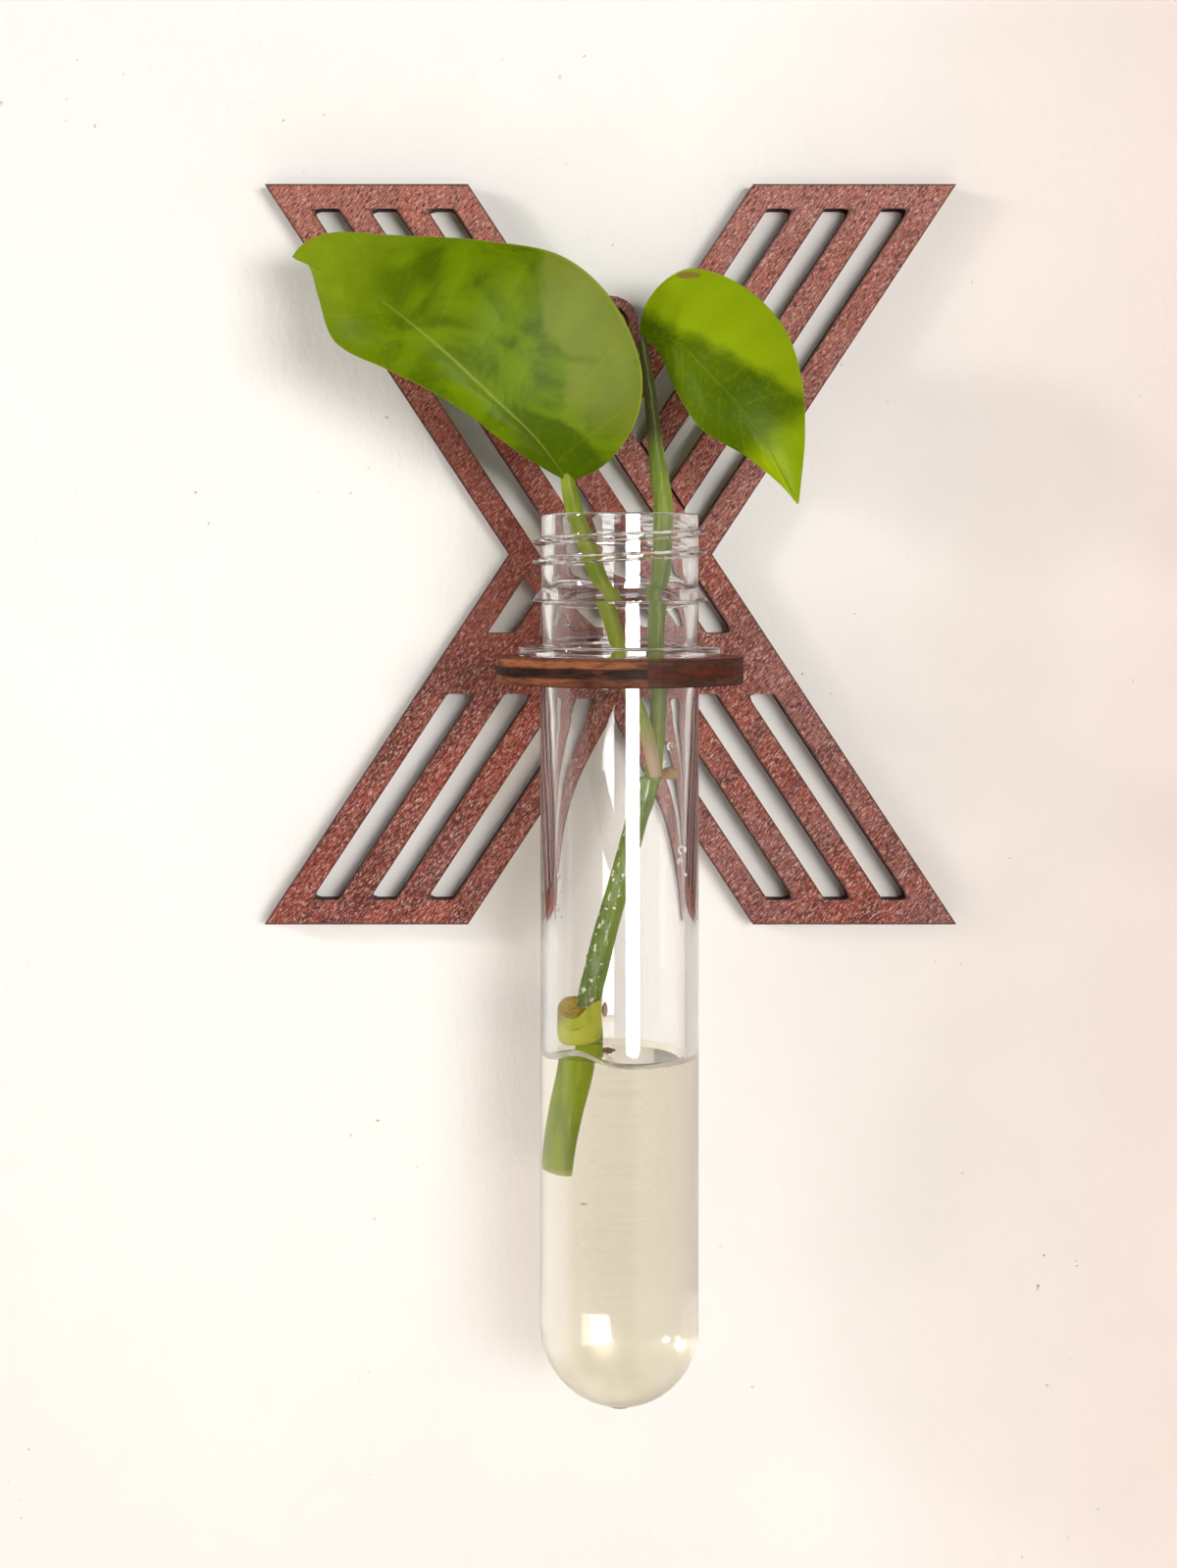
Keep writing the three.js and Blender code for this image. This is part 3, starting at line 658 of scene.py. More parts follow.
# %% Raise the thread
THREAD_HEIGHT = 1.28
THREAD_PITCH = 3.1
THREAD_TURNS = 2
THREAD_START = RIM_Z - 8.35
THREAD_ANGLE = math.pi / 48
THREAD_LATE = 0.25
THREAD_FADE = 0.18
CREST_HALF = 0.2
ROOT_HALF = 0.66
NECK_LOW = -42.6
NECK_HIGH = -33.1
NECK_INSIDE = 12


def soft_step(share):
    share = min(max(share, 0.0), 1.0)
    return share * share * (3 - 2 * share)


def ridge(angle, z):
    """The thread's height at an angle round the axis and a height, in millimetres."""
    turn_share = (angle - THREAD_ANGLE) / (2 * math.pi) - THREAD_LATE
    best = 0.0
    for whole in range(-1, THREAD_TURNS + 2):
        at = turn_share + whole
        if 0 < at < THREAD_TURNS:
            off = abs(z - THREAD_START - THREAD_PITCH * at)
            height = soft_step((ROOT_HALF - off) / (ROOT_HALF - CREST_HALF))
            ends = soft_step(min(at, THREAD_TURNS - at) / THREAD_FADE)
            best = max(best, height * ends)
    return best * THREAD_HEIGHT


raised = 0
for point in tube.data.vertices:
    x, y, z = from_axis(point)
    radius = math.hypot(x, y)
    if NECK_LOW < z < NECK_HIGH and radius > NECK_INSIDE:
        lift = ridge(math.atan2(y, x) % (2 * math.pi), z)
        if lift > 0:
            raised += 1
            point.co.x *= (radius + lift) / radius
            point.co.y = (TUBE_Y + y * (radius + lift) / radius) * MM
smooth(tube, 40)
print("Thread points raised", raised)

# %% [markdown]
# Clear plastic is a Principled shader with full transmission. Real light passes through it and
# barely dims, which takes a renderer long to find, so rays from lamps and soft light go
# straight through a Transparent shader instead. So does a ray that was mirrored three times
# inside the wall: it would run on round the tube for ever and leave a black speck.

# %% Clear plastic
PLASTIC = (0.998, 0.996, 0.992)
POLISH = 0.015


def clear_finish(name, tint, ior, shade):
    material, shader, tone, place = new_finish(
        name, IOR=ior, Roughness=POLISH, Transmission_Weight=1.0, Base_Color=(*tint, 1)
    )
    tired = tone.ray("Glossy Depth") > 2.5
    mask = tone.ray("Is Shadow Ray").either(tone.ray("Is Diffuse Ray")).either(tired)
    see_through(tone, mask, shader, shade)
    return material, shader, tone, place


plastic, plastic_shader, _, plastic_place = clear_finish(
    "clear_plastic", PLASTIC, 1.50, (0.865, 0.845, 0.825)
)
scuffs = plastic_place.stretch((1, 1, 0.08)).noise(0.0021, 3, 0.6)
emboss(scuffs, plastic_shader, 0.012 * MM, 0.18)
up_the_tube = plastic_place.axes()[2]
dull_bottom = up_the_tube.fade(-158 * MM, -166 * MM)
feed(dull_bottom * 0.09 + POLISH, plastic_shader, "Roughness")
# Painted shade: the gate's disc under the round bottom is tinted dark, for the thin dark line of
# shade there.
painted_gate_shade = up_the_tube.fade(-172.95 * MM, -173.2 * MM)
feed(painted_gate_shade.mix(PLASTIC, (0.10, 0.09, 0.07)), plastic_shader, "Base Color")
wear(tube, plastic)
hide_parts("test_tube")
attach(tube, "tube")
print("Tube dressed")

# %% [markdown]
# ## The water
# The water fills the round bottom, and where it meets the wall and the stem it climbs a little.
# Its outside lies a hair inside the plastic, so no layer of air is left between the two.

# %% Water profile
WATER_Z = -118.3
WATER_RADIUS = 10.43
WATER_BOTTOM = -170.73
WATER_STEPS = 144
RIM_CLIMB = 1.05
CURVED = 0.8
WATER_RINGS = 24
flat_radius = WATER_RADIUS - CURVED
water_profile = arc(0, -160.3, WATER_RADIUS, -90, 0, 26)
water_profile[0] = (0, WATER_BOTTOM)
water_profile += [(WATER_RADIUS, -140), (WATER_RADIUS, WATER_Z + RIM_CLIMB)]
for inward, rise in ((0.12, 0.84), (0.25, 0.65), (0.55, 0.28), (CURVED, 0.0)):
    water_profile.append((WATER_RADIUS - inward, WATER_Z + rise))
for ring in range(WATER_RINGS):
    water_profile.append((flat_radius * (1 - (ring + 1) / WATER_RINGS), WATER_Z))
water = turn("water_body", water_profile, WATER_STEPS)

# %% Let the water climb the stem and bridge to the wall
STEM_AT_WATER = (-4.8, 0.85)
STEM_REACH = 2.2
BRIDGE_ANGLE = math.radians(-131)
BRIDGE_WIDTH = math.radians(24)
BRIDGE_RISE = 1.7
BRIDGE_START = 4.5
BRIDGE_LENGTH = 4
CLIMB_WIDTH = 0.9
for point in water.data.vertices:
    x, y, z = from_axis(point)
    if z > WATER_Z - 0.01:
        off = math.hypot(x - STEM_AT_WATER[0], y - STEM_AT_WATER[1])
        climb = math.exp(-max(off - STEM_REACH, 0) / CLIMB_WIDTH)
        aside = (math.atan2(y, x) - BRIDGE_ANGLE) / BRIDGE_WIDTH
        near_wall = min(max((math.hypot(x, y) - BRIDGE_START) / BRIDGE_LENGTH, 0), 1)
        bridge = BRIDGE_RISE * math.exp(-aside * aside) * near_wall
        point.co.z += max(climb, bridge) * MM
smooth(water, 40)
print("Water's highest point", round(max(point.co.z for point in water.data.vertices) / MM, 1))

# %% [markdown]
# The water is a little brown, and a fine silt has settled in the round bottom. At both sides
# the view goes through little of it, so a thin rim stays nearly clear. That pale rim also stands
# in for the bright highlight along the tube's edges, so it is partly painted highlight.

# %% Dye the water
WATER = (0.945, 0.915, 0.790)
water_finish, water_shader, water_tone, water_place = clear_finish(
    "water", WATER, 1.333, (0.95, 0.945, 0.925)
)
settled = water_place.axes()[2].fade(-158 * MM, -170 * MM)
silt = settled * water_place.noise(0.006, 3, 0.6).fade(0.3, 0.7)
sideways, _, upwards = (abs(axis) for axis in water_tone.coordinate("Normal").axes())
# The clear rim is partly the thin water and partly a painted highlight of the tube's bright edges.
clear_rim_and_highlight = sideways.fade(0.70, 0.88) * upwards.fade(0.6, 0.2)
murk = silt.mix(WATER, (0.80, 0.765, 0.53))
feed(clear_rim_and_highlight.mix(murk, (0.995, 0.99, 0.97)), water_shader, "Base Color")
emboss(water_place.noise(0.006, 2, 0.5), water_shader, 0.01 * MM, 0.2)
wear(water, water_finish)
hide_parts("water")
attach(water, "water")
print("Water dressed")

# %% [markdown]
# ## The cutting
# Stems and stalks grow along a line and change their thickness slowly. A Bezier curve with a
# radius at each point does that: the curve gets a round bevel, its ends are capped, and it is
# then made a mesh. The numbers follow the same route as the CAD's solids.

# %% Routes of the stems
STEM_FOOT = (-7.6, 1.2, -104.1, 2.15)
LOWER_NODE = (-4.7, 0.8, -83.4, 2.2)
UPPER_NODE = (4.45, 0.0, -42.2, 1.75)


def beside(node, x, y, z, radius=0):
    return (node[0] + x, node[1] + y, node[2] + z, radius)


def grow(name, route, joint=12, around=6):
    """A stem along [x, y, z, radius] points, in millimetres from the tube's axis and rim."""
    deselect()
    bpy.ops.curve.primitive_bezier_curve_add(location=(0, 0, 0))
    shoot = bpy.context.object
    shoot.name = name
    line = shoot.data.splines[0]
    line.bezier_points.add(len(route) - 2)
    line.radius_interpolation = "CARDINAL"
    for knot, (x, y, z, radius) in zip(line.bezier_points, route):
        knot.handle_left_type = knot.handle_right_type = "AUTO"
        knot.co = in_tube(x, y, z)
        knot.radius = radius
    shoot.data.dimensions = "3D"
    shoot.data.bevel_depth = MM
    shoot.data.bevel_resolution = around
    shoot.data.resolution_u = joint
    bpy.ops.object.convert(target="MESH")
    shoot = bpy.context.object
    edit_all(shoot)
    bpy.ops.mesh.fill_holes(sides=0)
    close_seams(shoot, 0.002 * MM)
    smooth(shoot, 50)
    print(name, len(shoot.data.polygons), "faces")
    return shoot


# %% [markdown]
# The lower stem stands in the water. Its foot is a clean cut, so the cap's edge is bevelled
# only a little and the cut face stays flat. A cap is the only face with many corners.

# %% Stems
def caps(piece):
    return [face for face in piece.data.polygons if len(face.vertices) > 6]


def select_faces(piece, faces):
    """Go into edit mode with these faces selected."""
    wanted = {face.index for face in faces}
    pick(piece)
    mode("EDIT")
    bpy.ops.mesh.select_mode(type="FACE")
    bpy.ops.mesh.select_all(action="DESELECT")
    mode("OBJECT")
    for face in piece.data.polygons:
        face.select = face.index in wanted
    mode("EDIT")


def soften_ends(piece, width):
    """Bevel the rim of a stem's cut ends."""
    select_faces(piece, caps(piece))
    bpy.ops.mesh.region_to_loop()
    bpy.ops.mesh.bevel(offset=width, segments=2)
    mode("OBJECT")


stem_lower = grow("stem_in_water", [
    STEM_FOOT,
    beside(LOWER_NODE, -2.35, 0.35, -16.2, 2.08),
    beside(LOWER_NODE, -1.55, 0.2, -10.7, 2.1),
    beside(LOWER_NODE, -0.5, 0.1, -4.8, 2.18),
    LOWER_NODE,
])
soften_ends(stem_lower, 0.2 * MM)

stem_upper = grow("stem_above", [
    beside(LOWER_NODE, 0, 0, 0.0, 2.15),
    beside(LOWER_NODE, 0.05, -0.1, 6.9, 1.95),
    (-3.55, 0.5, -71.7, 1.9),
    (-2.6, 0.4, -67.7, 1.9),
    (-0.9, 0.3, -61.6, 1.8),
    (0.85, 0.2, -55.6, 1.8),
    (2.75, 0.1, -48.4, 1.75),
    (4.1, 0.0, -43.6, 1.9),
    beside(UPPER_NODE, 0, 0, 0.5, 1.9),
])

petiole_right = grow("stalk_right", [
    beside(UPPER_NODE, 0.75, 0, 0.0, 1.4),
    (6.2, -0.1, -30.6, 1.3),
    (5.8, -0.3, -18.6, 1.35),
    (6.8, -0.6, -5.6, 1.55),
    (6.9, -0.5, 1.4, 1.55),
    (6.0, -0.1, 8.4, 1.3),
    (5.4, 0.2, 14.4, 1.05),
    (4.7, 0.4, 20.4, 0.95),
    (3.6, 0.7, 27.6, 0.65),
])

petiole_left = grow("stalk_left", [
    beside(UPPER_NODE, 1.2, -1.4, 0.9, 0.95),
    (4.2, -1.6, -34.6, 1.2),
    (2.1, -1.3, -28.8, 1.25),
    (0.3, -1.0, -23.0, 1.35),
    (-1.7, -1.3, -15.6, 1.4),
    (-4.3, -1.8, -7.6, 1.4),
    (-6.8, -2.2, -1.1, 1.4),
    (-7.9, -2.5, 3.2, 1.3),
    (-8.5, -2.8, 6.0, 1.0),
    (-9.6, -3.6, 8.2, 0.45),
])

aerial_root = grow("air_root", [
    beside(UPPER_NODE, 1.2, -0.1, 1.1, 0.75),
    beside(UPPER_NODE, 2.45, -0.1, 1.2, 0.8),
    beside(UPPER_NODE, 3.4, -0.1, 1.3, 1.05),
    beside(UPPER_NODE, 4.6, -0.1, 1.3, 0.95),
], 8, 5)
soften_ends(aerial_root, 0.15 * MM)

# %% [markdown]
# At the lower node the old leaf was cut off. What stays is a short collar round the stem, open
# at one side, with a brown scar in its hollow top. The cap is inset and pushed down for that.

# %% The cut-off leaf base
COLLAR = (-6.3, -1.0, -83.4)
stub = grow("leaf_base_stub", [
    beside(COLLAR, 0.1, 0, 0.1, 2.55),
    beside(COLLAR, 0.05, 0, 0.6, 3.15),
    beside(COLLAR, 0, 0, 1.7, 3.42),
    beside(COLLAR, 0, 0, 3.9, 3.5),
    beside(COLLAR, -0.05, 0, 6.8, 3.4),
], 6, 9)
select_faces(stub, [max(caps(stub), key=lambda face: face.center.z)])
for inset, sink in ((0.45, 0.15), (0.5, 0.45), (0.7, 0.3)):
    bpy.ops.mesh.inset(thickness=inset * MM)
    bpy.ops.transform.translate(value=(0, 0, -sink * MM))
mode("OBJECT")
smooth(stub, 50)

# %% [markdown]
# The collar's rim is lower in front and at its left, where the knife went through, so the
# scar looks at the camera. The points near the top are moved down by their place.

# %% Slant the cut
SLANT_FROM = 2.6
SLANT = 0.42
SLANT_RIGHT = 1.9
SLANT_WIDTH = 2.4
SLANT_BACK = 2.6
for point in stub.data.vertices:
    x, y, z = from_axis(point)
    x, y, z = x - COLLAR[0], y - COLLAR[1], z - RIM_Z - COLLAR[2]
    if z > SLANT_FROM:
        at_left = min(max((SLANT_RIGHT - x) / SLANT_WIDTH, 0), 1)
        slant = at_left * max(SLANT_BACK - y, 0) * SLANT
        point.co.z -= slant * soft_step((z - SLANT_FROM) / SLANT_FROM) * MM
print("Stub top", round(max(point.co.z for point in stub.data.vertices) / MM, 1), "mm")


# %% [markdown]
# A dormant bud and the nub of a root sit at the other side of the node. Both start as a small
# ball that is stretched, then drawn to a point at one end.

# %% Bud and root nub
TAPER = 0.6


def kernel(name, spot, half_sizes, tip_axis, tip_shift):
    place = in_tube(*spot)
    deselect()
    bpy.ops.mesh.primitive_ico_sphere_add(subdivisions=4, radius=1, location=place)
    piece = bpy.context.object
    piece.name = name
    piece.scale = [size * MM for size in half_sizes]
    settle(piece)
    axis = Vector(tip_axis).normalized()
    reach = max(abs(component) * size for component, size in zip(axis, half_sizes)) * MM
    for point in piece.data.vertices:
        off = point.co - place
        along = off.dot(axis) / reach
        if along > 0:
            across = off - axis * off.dot(axis)
            point.co -= across * TAPER * along * along
            point.co += Vector(tip_shift) * MM * along * along
    smooth(piece, 60)
    return piece


at_bud = beside(LOWER_NODE, 2.4, -0.2, 5.0)[:3]
at_root = beside(LOWER_NODE, 2.7, -0.1, -1.6)[:3]
bud = kernel("side_bud", at_bud, (0.5, 0.7, 1.2), (0, 0, 1), (0.1, 0, 0))
root_nub = kernel("root_start", at_root, (1.5, 0.5, 0.52), (1, 0, 0), (0, 0, 0.15))

# %% [markdown]
# ## Green stems
# A young stem is smooth and waxy, with fine fibres along it and darker freckles. The colour
# moves from yellow-green in the light to deeper green, so two greens are mixed by streaks that
# are stretched along the stem, which stands nearly upright. An end may have its own colour: the
# pale cut in the water, the dark top of the right stalk, which is painted shade under the leaves,
# and the brown sheath of the left one. The upper stem is wet, with a clear coat, and its lit side
# carries a painted sheen and small white specks that are painted glints of droplets.

# %% Stem finishes
def stem_finish(name, light, dark, freckle, freckles, rough=0.32, ends=None, wet=0.0):
    """Light and dark green, with freckles. Ends are a height, a colour and a reach upwards."""
    material, shader, tone, place = new_finish(name, Specular_IOR_Level=0.025)
    fibres = place.stretch((1, 1, 0.05)).noise(0.0007, 3, 0.6)
    cloud = place.stretch((1, 1, 0.35)).noise(0.0042, 3, 0.55)
    colour = cloud.fade(0.36, 0.64).mix(dark, light)
    colour = (fibres.fade(0.5, 0.72) * 0.5).mix(colour, lit(light, 1.4))
    spots = place.stretch((1, 1, 0.6), (0.4, 0.2, 0.9)).noise(0.0012, 2, 0.5)
    colour = (spots.fade(0.62, 0.72) * freckles).mix(colour, freckle)
    if ends is not None:
        end_z, end_colour, reach = ends
        colour = place.axes()[2].fade(end_z + reach, end_z).mix(colour, end_colour)
    if wet:
        shader.inputs["Coat Roughness"].default_value = 0.08
        wet_film_and_sheen = place.stretch((1, 1, 0.4), (0.1, 0.5, 0.3)).noise(0.0009, 4, 0.75)
        # Painted sheen and painted glints: the lit side is paled grey-green, and small white specks
        # stand for the glints of droplets.
        aside = tone.coordinate("Normal").axes()[0]
        lit_side = aside.fade(-0.85, -0.35) * aside.fade(0.25, -0.05)
        painted_sheen = wet_film_and_sheen.fade(0.40, 0.62) * lit_side
        colour = (painted_sheen * 0.45).mix(colour, (0.42, 0.46, 0.36))
        painted_droplet_glints = place.stretch((1, 1, 0.8), (0.6, 0.2, 0.8)).noise(0.0008, 1, 0.5)
        painted_droplet_glints = painted_droplet_glints.fade(0.63, 0.68) * aside.fade(0.45, 0.15)
        colour = (painted_droplet_glints * 0.9).mix(colour, (0.86, 0.90, 0.80))
        feed(wet_film_and_sheen.fade(0.42, 0.62) * wet, shader, "Coat Weight")
    coat(shader, colour, fibres * 0.2 + (rough - 0.1), fibres + spots * 0.8, 0.14 * MM)
    return material


def plant(piece, node, material):
    """Dress a piece of the cutting, hide its CAD node and hang it on the cutting's body."""
    wear(piece, material)
    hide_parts(node)
    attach(piece, "cutting")


plant(stem_lower, "stem_lower", stem_finish(
    "stem_in_water_green", (0.275, 0.355, 0.001), (0.175, 0.255, 0.001), (0.12, 0.19, 0.001), 0.25,
    ends=((RIM_Z + STEM_FOOT[2]) * MM, (0.50, 0.46, 0.13), 1.2 * MM),
))
plant(stem_upper, "stem_upper", stem_finish(
    "stem_above_green", (0.205, 0.290, 0.034), (0.100, 0.178, 0.012), (0.020, 0.060, 0.006), 0.9,
    wet=0.9,
))
plant(petiole_right, "petiole_right", stem_finish(
    "stalk_right_green", (0.240, 0.295, 0.050), (0.132, 0.188, 0.026), (0.05, 0.09, 0.015), 0.4,
    # Painted shade: the right stalk is dark above the rim, up by the leaves, which shade it.
    ends=(-18.5 * MM, (0.052, 0.060, 0.012), -5.5 * MM),
))
plant(petiole_left, "petiole_left", stem_finish(
    "stalk_left_green", (0.262, 0.312, 0.036), (0.176, 0.245, 0.016), (0.11, 0.165, 0.012), 0.3,
    ends=(-72.5 * MM, (0.52, 0.37, 0.26), 9.0 * MM),
))
plant(aerial_root, "aerial_root", stem_finish(
    "air_root_brown", (0.410, 0.258, 0.084), (0.245, 0.142, 0.042), (0.07, 0.035, 0.015), 0.7, 0.6
))
plant(bud, "bud", stem_finish(
    "bud_pink", (0.47, 0.34, 0.27), (0.34, 0.19, 0.14), (0.20, 0.10, 0.07), 0.4, 0.4
))
plant(root_nub, "root_nub", stem_finish(
    "root_brown", (0.30, 0.16, 0.10), (0.17, 0.085, 0.055), (0.07, 0.03, 0.02), 0.5, 0.5
))
print("Stems dressed")

# %% [markdown]
# The stub is paler than the stem, and its hollow top has dried to an olive brown. The scar is
# the part that looks up and lies inside the rim, so the mask reads the normal and the height.

# %% Stub finish
def stub_finish():
    material, shader, tone, place = new_finish("stub_green", Specular_IOR_Level=0.04)
    fibres = place.stretch((1, 1, 0.08)).noise(0.0009, 3, 0.6)
    cloud = place.noise(0.004, 3, 0.5)
    colour = cloud.fade(0.38, 0.62).mix((0.375, 0.450, 0.012), (0.510, 0.530, 0.050))
    x, _, z = place.axes()
    facing = tone.coordinate("Normal").axes()[2]
    wobble = place.noise(0.0016, 3, 0.6)
    top = z + wobble * (1.0 * MM)
    scar = facing.fade(0.20, 0.50) * top.fade(-114.0 * MM, -113.2 * MM)
    scar_brown = wobble.fade(0.4, 0.65).mix((0.600, 0.415, 0.016), (0.290, 0.160, 0.010))
    dry_rim = x.fade(-7.6 * MM, -9.4 * MM) * z.fade(-113.2 * MM, -111.4 * MM)
    colour = (dry_rim * 0.7).mix(colour, (0.24, 0.15, 0.04))
    colour = scar.mix(colour, scar_brown)
    coat(shader, colour, fibres * 0.2 + 0.28, fibres + scar * wobble * 2.0, 0.12 * MM, 0.8)
    return material


plant(stub, "petiole_stub", stub_finish())
print("Stub dressed")

# %% [markdown]
# ## The leaves
# A leaf is a thin sheet between its midrib and its two margins, slightly crowned on each half
# and gently wavy between its side veins. It starts as a flat grid, whose rows run across the
# leaf. Each point of the grid is then laid on the blade, and its UV map keeps the flat grid, so
# the veins can be drawn across and along the leaf wherever it bends. The broad leaf's tip turns
# back in a small hook.

# %% A smooth line through points
def between(t, start, stop, first, second):
    """The point that is reached at t, on the way from the first at start to the second."""
    return first * ((stop - t) / (stop - start)) + second * ((t - start) / (stop - start))


def smooth_line(points, cuts=400):
    """Even steps along a centripetal Catmull-Rom line, as a function of the share walked."""
    points = [Vector(point) for point in points]
    walk = [points[0] * 2 - points[1], *points, points[-1] * 2 - points[-2]]
    dense = []
    for p0, p1, p2, p3 in zip(walk, walk[1:], walk[2:], walk[3:]):
        t1 = (p1 - p0).length ** 0.5
        t2 = t1 + (p2 - p1).length ** 0.5
        t3 = t2 + (p3 - p2).length ** 0.5
        for i in range(cuts // len(points)):
            t = t1 + (t2 - t1) * i / (cuts // len(points))
            a2 = between(t, t1, t2, p1, p2)
            b1 = between(t, 0, t2, between(t, 0, t1, p0, p1), a2)
            b2 = between(t, t1, t3, a2, between(t, t2, t3, p2, p3))
            dense.append(between(t, t1, t2, b1, b2))
    dense.append(points[-1])
    reached = [0.0]
    for here, there in zip(dense, dense[1:]):
        reached.append(reached[-1] + (there - here).length)

    def at(share):
        goal = share * reached[-1]
        high = min(bisect.bisect_right(reached, goal), len(reached) - 1)
        low = high - 1
        span = reached[high] - reached[low]
        return dense[low].lerp(dense[high], (goal - reached[low]) / span)

    return at


# %% Lay a grid on the blade
BOW = 1.2
QUILT = 0.11
EDGE_WAVE = 0.35
RIB_DEPTH, RIB_WIDTH = 0.10, 0.05
LEAF_THICKNESS = 0.38
ALONG = 72
ACROSS = 44


def unfold(name, midrib, left_margin, right_margin, waves, seed):
    deselect()
    bpy.ops.mesh.primitive_grid_add(x_subdivisions=ACROSS, y_subdivisions=ALONG, size=2)
    leaf = bpy.context.object
    leaf.name = name
    middle, left, right = (smooth_line(line) for line in (midrib, left_margin, right_margin))
    ripple = random.Random(seed)
    phases = [ripple.uniform(0, 2 * math.pi) for _ in range(4)]
    for point in leaf.data.vertices:
        across, share = point.co.x, (point.co.y + 1) / 2
        reach = abs(across)
        spine = middle(share)
        edge = (left if across < 0 else right)(share)
        place = spine.lerp(edge, reach)
        full = math.sin(math.pi * share)
        bow = BOW * 4 * reach * (1 - reach) * full
        quilt = QUILT * math.sin(2 * math.pi * (waves * (share - 0.28 * reach)) + phases[0])
        quilt *= reach * (1.2 - reach) * full * 2.2
        wave = math.sin(9 * share + phases[1]) + 0.5 * math.sin(17 * share + phases[2])
        margin = EDGE_WAVE * reach**4 * full * wave
        rib = -RIB_DEPTH * math.exp(-((reach / RIB_WIDTH) ** 2)) * (1 - share) ** 0.5
        point.co = in_tube(place.x, place.y - bow - quilt - margin + rib, place.z)
    edit_all(leaf)
    bpy.ops.mesh.remove_doubles(threshold=0.02 * MM)
    mode("OBJECT")
    solid = leaf.modifiers.new("thickness", "SOLIDIFY")
    solid.thickness = LEAF_THICKNESS * MM
    solid.offset = 0
    bpy.ops.object.modifier_apply(modifier="thickness")
    round_off = leaf.modifiers.new("rounding", "SUBSURF")
    round_off.levels = round_off.render_levels = 1
    bpy.ops.object.modifier_apply(modifier="rounding")
    bpy.ops.object.shade_smooth()
    print(name, len(leaf.data.polygons), "faces")
    return leaf


LEFT_BASE = (-8.1, -2.8, 5)
LEFT_TIP = (-52.3, 7.6, 41.6)
leaf_left = unfold(
    "leaf_broad",
    [LEFT_BASE, (-13.6, -6.6, 11.7), (-20.4, -8.6, 17.9), (-29.5, -8.6, 26.3),
     (-40.4, -3.6, 35.2), LEFT_TIP],
    [LEFT_BASE, (-12, -4.6, 7), (-17.4, -6.6, 10.4), (-23.5, -7.6, 15), (-29.6, -7.6, 18.8),
     (-35.7, -6.6, 21.9), (-44.7, -3.6, 26.7), (-47.6, 1.4, 34.2), (-49.6, 5.4, 40.4), LEFT_TIP],
    [LEFT_BASE, (-2.7, -3.6, 7.5), (2.3, -5.6, 14.3), (3.1, -6.6, 22.6), (-1.3, -6.6, 32.9),
     (-8.9, -5.6, 39.9), (-20.4, -3.6, 42.7), (-35.9, 0.4, 44.2), (-46.2, 5.4, 45.2),
     (-50.2, 6.9, 43.9), LEFT_TIP],
    7, 11,
)

RIGHT_BASE = (3.3, 0.4, 28.6)
RIGHT_TIP = (26.8, -10.6, 1.2)
leaf_right = unfold(
    "leaf_small",
    [RIGHT_BASE, (8.8, -3.6, 26.7), (13.9, -6.6, 21.1), (18.5, -9.6, 15.6),
     (22.6, -10.6, 9.5), RIGHT_TIP],
    [RIGHT_BASE, (4.2, 1.4, 33.1), (7.9, 3.4, 37.7), (11.9, 4.4, 39.4), (18.9, 3.4, 37.1),
     (25.5, 0.4, 30.5), (28.2, -3.6, 22.1), (28.3, -7.6, 12.7), RIGHT_TIP],
    [RIGHT_BASE, (6, -1.6, 25.7), (8.8, -3.6, 19), (12.4, -6.6, 13), (19.1, -8.6, 8.8),
     (24.8, -10.6, 3.7), RIGHT_TIP],
    6, 5,
)

# %% [markdown]
# The blade is glossy and yellow-green. The midrib is a pale thin line, the side veins are faint,
# and the margin is a little paler. All of that follows the UV map: u runs across the leaf, with
# the midrib at one half, and v from the base to the tip. Patches on Object coordinates add
# painted light and shade: a painted sheen and a painted shadow on the broad leaf, and the lit part
# of the small leaf.

# %% Leaf finish
WANDER = 2.6 * MM


def beyond(place, wander, from_point, to_point):
    """A mask from 0 at one place to 1 at another, given as [x, z] in millimetres."""
    x, _, z = place.axes()
    (from_x, from_z), (to_x, to_z) = from_point, to_point
    length = math.hypot(to_x - from_x, to_z - from_z)
    lean_x, lean_z = (to_x - from_x) / length, (to_z - from_z) / length
    start = (from_x * lean_x + from_z * lean_z) * MM
    at = x * lean_x + z * lean_z + wander * WANDER
    return at.fade(start, start + length * MM)


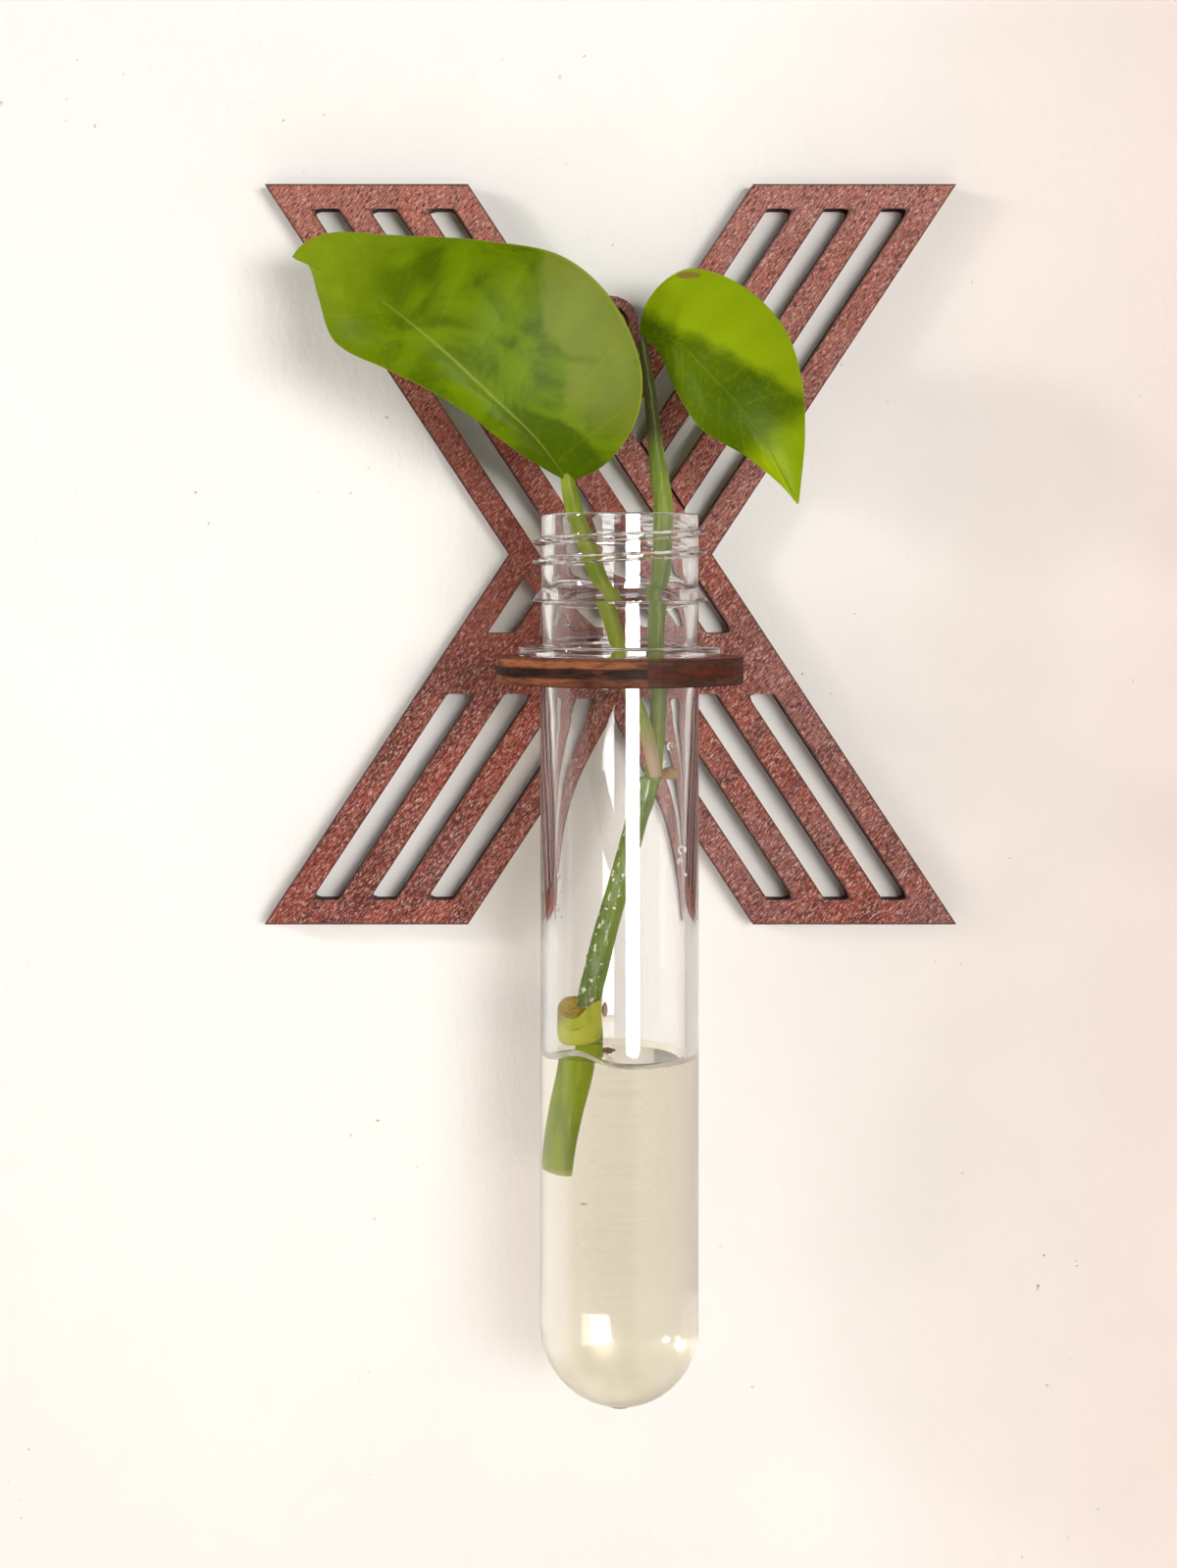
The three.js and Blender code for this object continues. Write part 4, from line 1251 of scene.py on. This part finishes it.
def leaf_finish(name, deep, fresh, glow, patches, veins, rib_share, blemish=None):
    """Patches are [steps, share, tint]: each step is a from and a to place of a soft edge."""
    material, shader, tone, place = new_finish(name, Specular_IOR_Level=0.018)
    u, v, _ = tone.coordinate("UV").axes()
    reach = abs(u - 0.5) * 2
    cloud = place.noise(0.009, 4, 0.6, 0.6)
    cells = place.noise(0.0007, 3, 0.6)
    colour = (cloud.fade(0.34, 0.62) * 0.8 + 0.2).mix(deep, fresh)
    wander = place.noise(0.0035, 3, 0.6) - 0.5
    for steps, share, tint in patches:
        mask = share
        for from_point, to_point in steps:
            mask = beyond(place, wander, from_point, to_point) * mask
        colour = mask.mix(colour, tint)
    vein_line = (v - reach * 0.16) * veins
    wave = vein_line.fraction()
    vein = abs(wave - 0.5).fade(0.07, 0.0) * reach.fade(1.0, 0.75) * reach.fade(0.02, 0.12)
    hollow = abs(wave - 0.5).fade(0.05, 0.5)
    colour = (vein * 0.05).mix(colour, lit(glow, 1.25, 0.03))
    colour = (hollow * 0.08).mix(colour, lit(deep, 0.6))
    midrib = reach.fade(0.024, 0.006) * v.fade(0.78, 0.45)
    colour = (midrib * rib_share).mix(colour, (0.31, 0.39, 0.05))
    margin = reach.fade(0.965, 0.995)
    colour = (margin * 0.6).mix(colour, (0.36, 0.42, 0.06))
    colour = (cells.fade(0.48, 0.7) * 0.12).mix(colour, glow)
    if blemish is not None:
        spot_x, spot_z, half_x, half_z = blemish
        x, _, z = place.axes()
        wobble = place.noise(0.0021, 3, 0.7)
        dx = (x - spot_x * MM) * (1 / (half_x * MM))
        dz = (z - spot_z * MM) * (1 / (half_z * MM))
        off = dx * dx + dz * dz + (wobble - 0.5) * 2.6
        spot = off.fade(1.0, 0.35)
        colour = (spot * 0.8).mix(colour, (0.26, 0.13, 0.045))
    height = cells * 0.5 + vein * -0.4 + midrib * 0.2
    coat(shader, colour, cells * 0.16 + cloud * 0.14 + 0.26, height, 0.10 * MM, 0.7)
    return material


BROAD_DEEP = (0.056, 0.098, 0.001)
BROAD_GLOW = (0.215, 0.297, 0.006)
SHEEN = (0.213, 0.256, 0.026)
broad_green = leaf_finish(
    "leaf_broad_green", BROAD_DEEP, (0.150, 0.236, 0.001), BROAD_GLOW,
    [
        ([((-34, -2), (-48, 4))], 0.8, BROAD_GLOW),
        # Painted sheen: the broad leaf's right part is paled by the window's sheen.
        ([((-13.4, 5), (-11.6, 5)), ((-12.0, -5.9), (-10.6, -4.7)), ((-9, -9.5), (-9, -8))],
         0.75, SHEEN),
        ([((-9.8, -14), (-8.2, -14)), ((-10, -22), (-6, -12)), ((-9, -8), (-9, -9.5))],
         0.65, SHEEN),
        ([((-24, -12), (-28, -17))], 0.35, BROAD_DEEP),
        # Painted shadow: a dark patch with a crisp edge near the base.
        ([((-6.9, -18.6), (-7.3, -19.7)), ((-4.3, -21.8), (-5.1, -22.5)), ((-20, -20), (-14, -20))],
         0.85, BROAD_DEEP),
    ], 9, 0.45,
)
SMALL_DEEP = (0.061, 0.105, 0.001)
SMALL_GLOW = (0.305, 0.425, 0.003)
small_green = leaf_finish(
    "leaf_small_green", SMALL_DEEP, (0.094, 0.154, 0.001), SMALL_GLOW,
    [
        # Painted light: the small leaf's upper part is lit yellow-green, and the edge below it is
        # where the broad leaf's shadow begins.
        ([((16.8, -9.4), (18.3, -6.8))], 0.92, SMALL_GLOW),
        ([((22.5, -18), (26, -22))], 0.85, SMALL_GLOW),
    ], 8, 0.15, (11.4, 5.8, 2.2, 0.7),
)
plant(leaf_left, "leaf_left", broad_green)
plant(leaf_right, "leaf_right", small_green)
print("Leaves dressed")

# %% [markdown]
# ## Droplets
# The tube has been watered: small beads cling to the inside of its wall above the water, and a
# few sit on the upper stem. Each is a ball pressed flat against what carries it.

# %% Beads of water
BORE = 10.4
BEADS_ON_STEM = 60
BEND_AT = 0.35


def bead(place, outward, radius, flat, tall=1.0):
    deselect()
    bpy.ops.mesh.primitive_ico_sphere_add(subdivisions=3, radius=radius * MM, location=place)
    drop = bpy.context.object
    outward = Vector(outward).normalized()
    drop.rotation_euler = outward.to_track_quat("Z", "Y").to_euler()
    drop.scale = (1, tall, flat)
    settle(drop)
    return drop


def gather(name, drops):
    pick(drops[0])
    for drop in drops:
        drop.select_set(True)
    bpy.ops.object.join()
    joined = bpy.context.object
    joined.name = name
    settle(joined)
    bpy.ops.object.shade_smooth()
    return joined


scatter = random.Random(28)
wall_drops = []
for degrees, z, radius in (
    (168, -57.5, 0.55), (160, -60.0, 0.4), (170, -62.6, 0.5), (158, -64.2, 0.3),
    (-32, -52.5, 0.65), (-36, -54.2, 0.4), (-30, -56.4, 0.3), (-47, -36.2, 0.7), (-52, -38.5, 0.35),
):
    angle = math.radians(degrees)
    outward = (math.cos(angle), math.sin(angle), 0)
    middle = BORE - radius * 0.3
    place = in_tube(middle * outward[0], middle * outward[1], z)
    wall_drops.append(bead(place, outward, radius, 0.6, scatter.uniform(1.0, 1.5)))
wall_beads = gather("beads_on_wall", wall_drops)

stem_drops = []
low, bend, high = (-4.7, 0.7, -78.5, 1.95), (-4.5, 0.7, -75.8, 1.95), (-2.6, 0.4, -67.7, 1.9)
for _ in range(BEADS_ON_STEM):
    share = scatter.random() ** 1.4
    if share < BEND_AT:
        start, stop, blend = low, bend, share / BEND_AT
    else:
        start, stop, blend = bend, high, (share - BEND_AT) / (1 - BEND_AT)
    centre = [a + (b - a) * blend for a, b in zip(start, stop)]
    angle = math.radians(scatter.uniform(-165, -30))
    outward = Vector((math.cos(angle), math.sin(angle), 0.1))
    place = in_tube(
        centre[0] + outward.x * centre[3], centre[1] + outward.y * centre[3], centre[2]
    )
    stem_drops.append(bead(place, outward, scatter.uniform(0.14, 0.40), 0.75))
stem_beads = gather("beads_on_stem", stem_drops)

bead_water = clear_finish("bead_water", (0.99, 0.99, 0.99), 1.333, (0.98, 0.98, 0.98))[0]
for piece, body in ((wall_beads, "tube"), (stem_beads, "cutting")):
    wear(piece, bead_water)
    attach(piece, body)
print("Beads", len(wall_drops), "on the wall and", len(stem_drops), "on the stem")

# %% [markdown]
# ## The view
# Colours are shown with the Standard view transform.

# %% Finish
scene.view_settings.view_transform = "Standard"
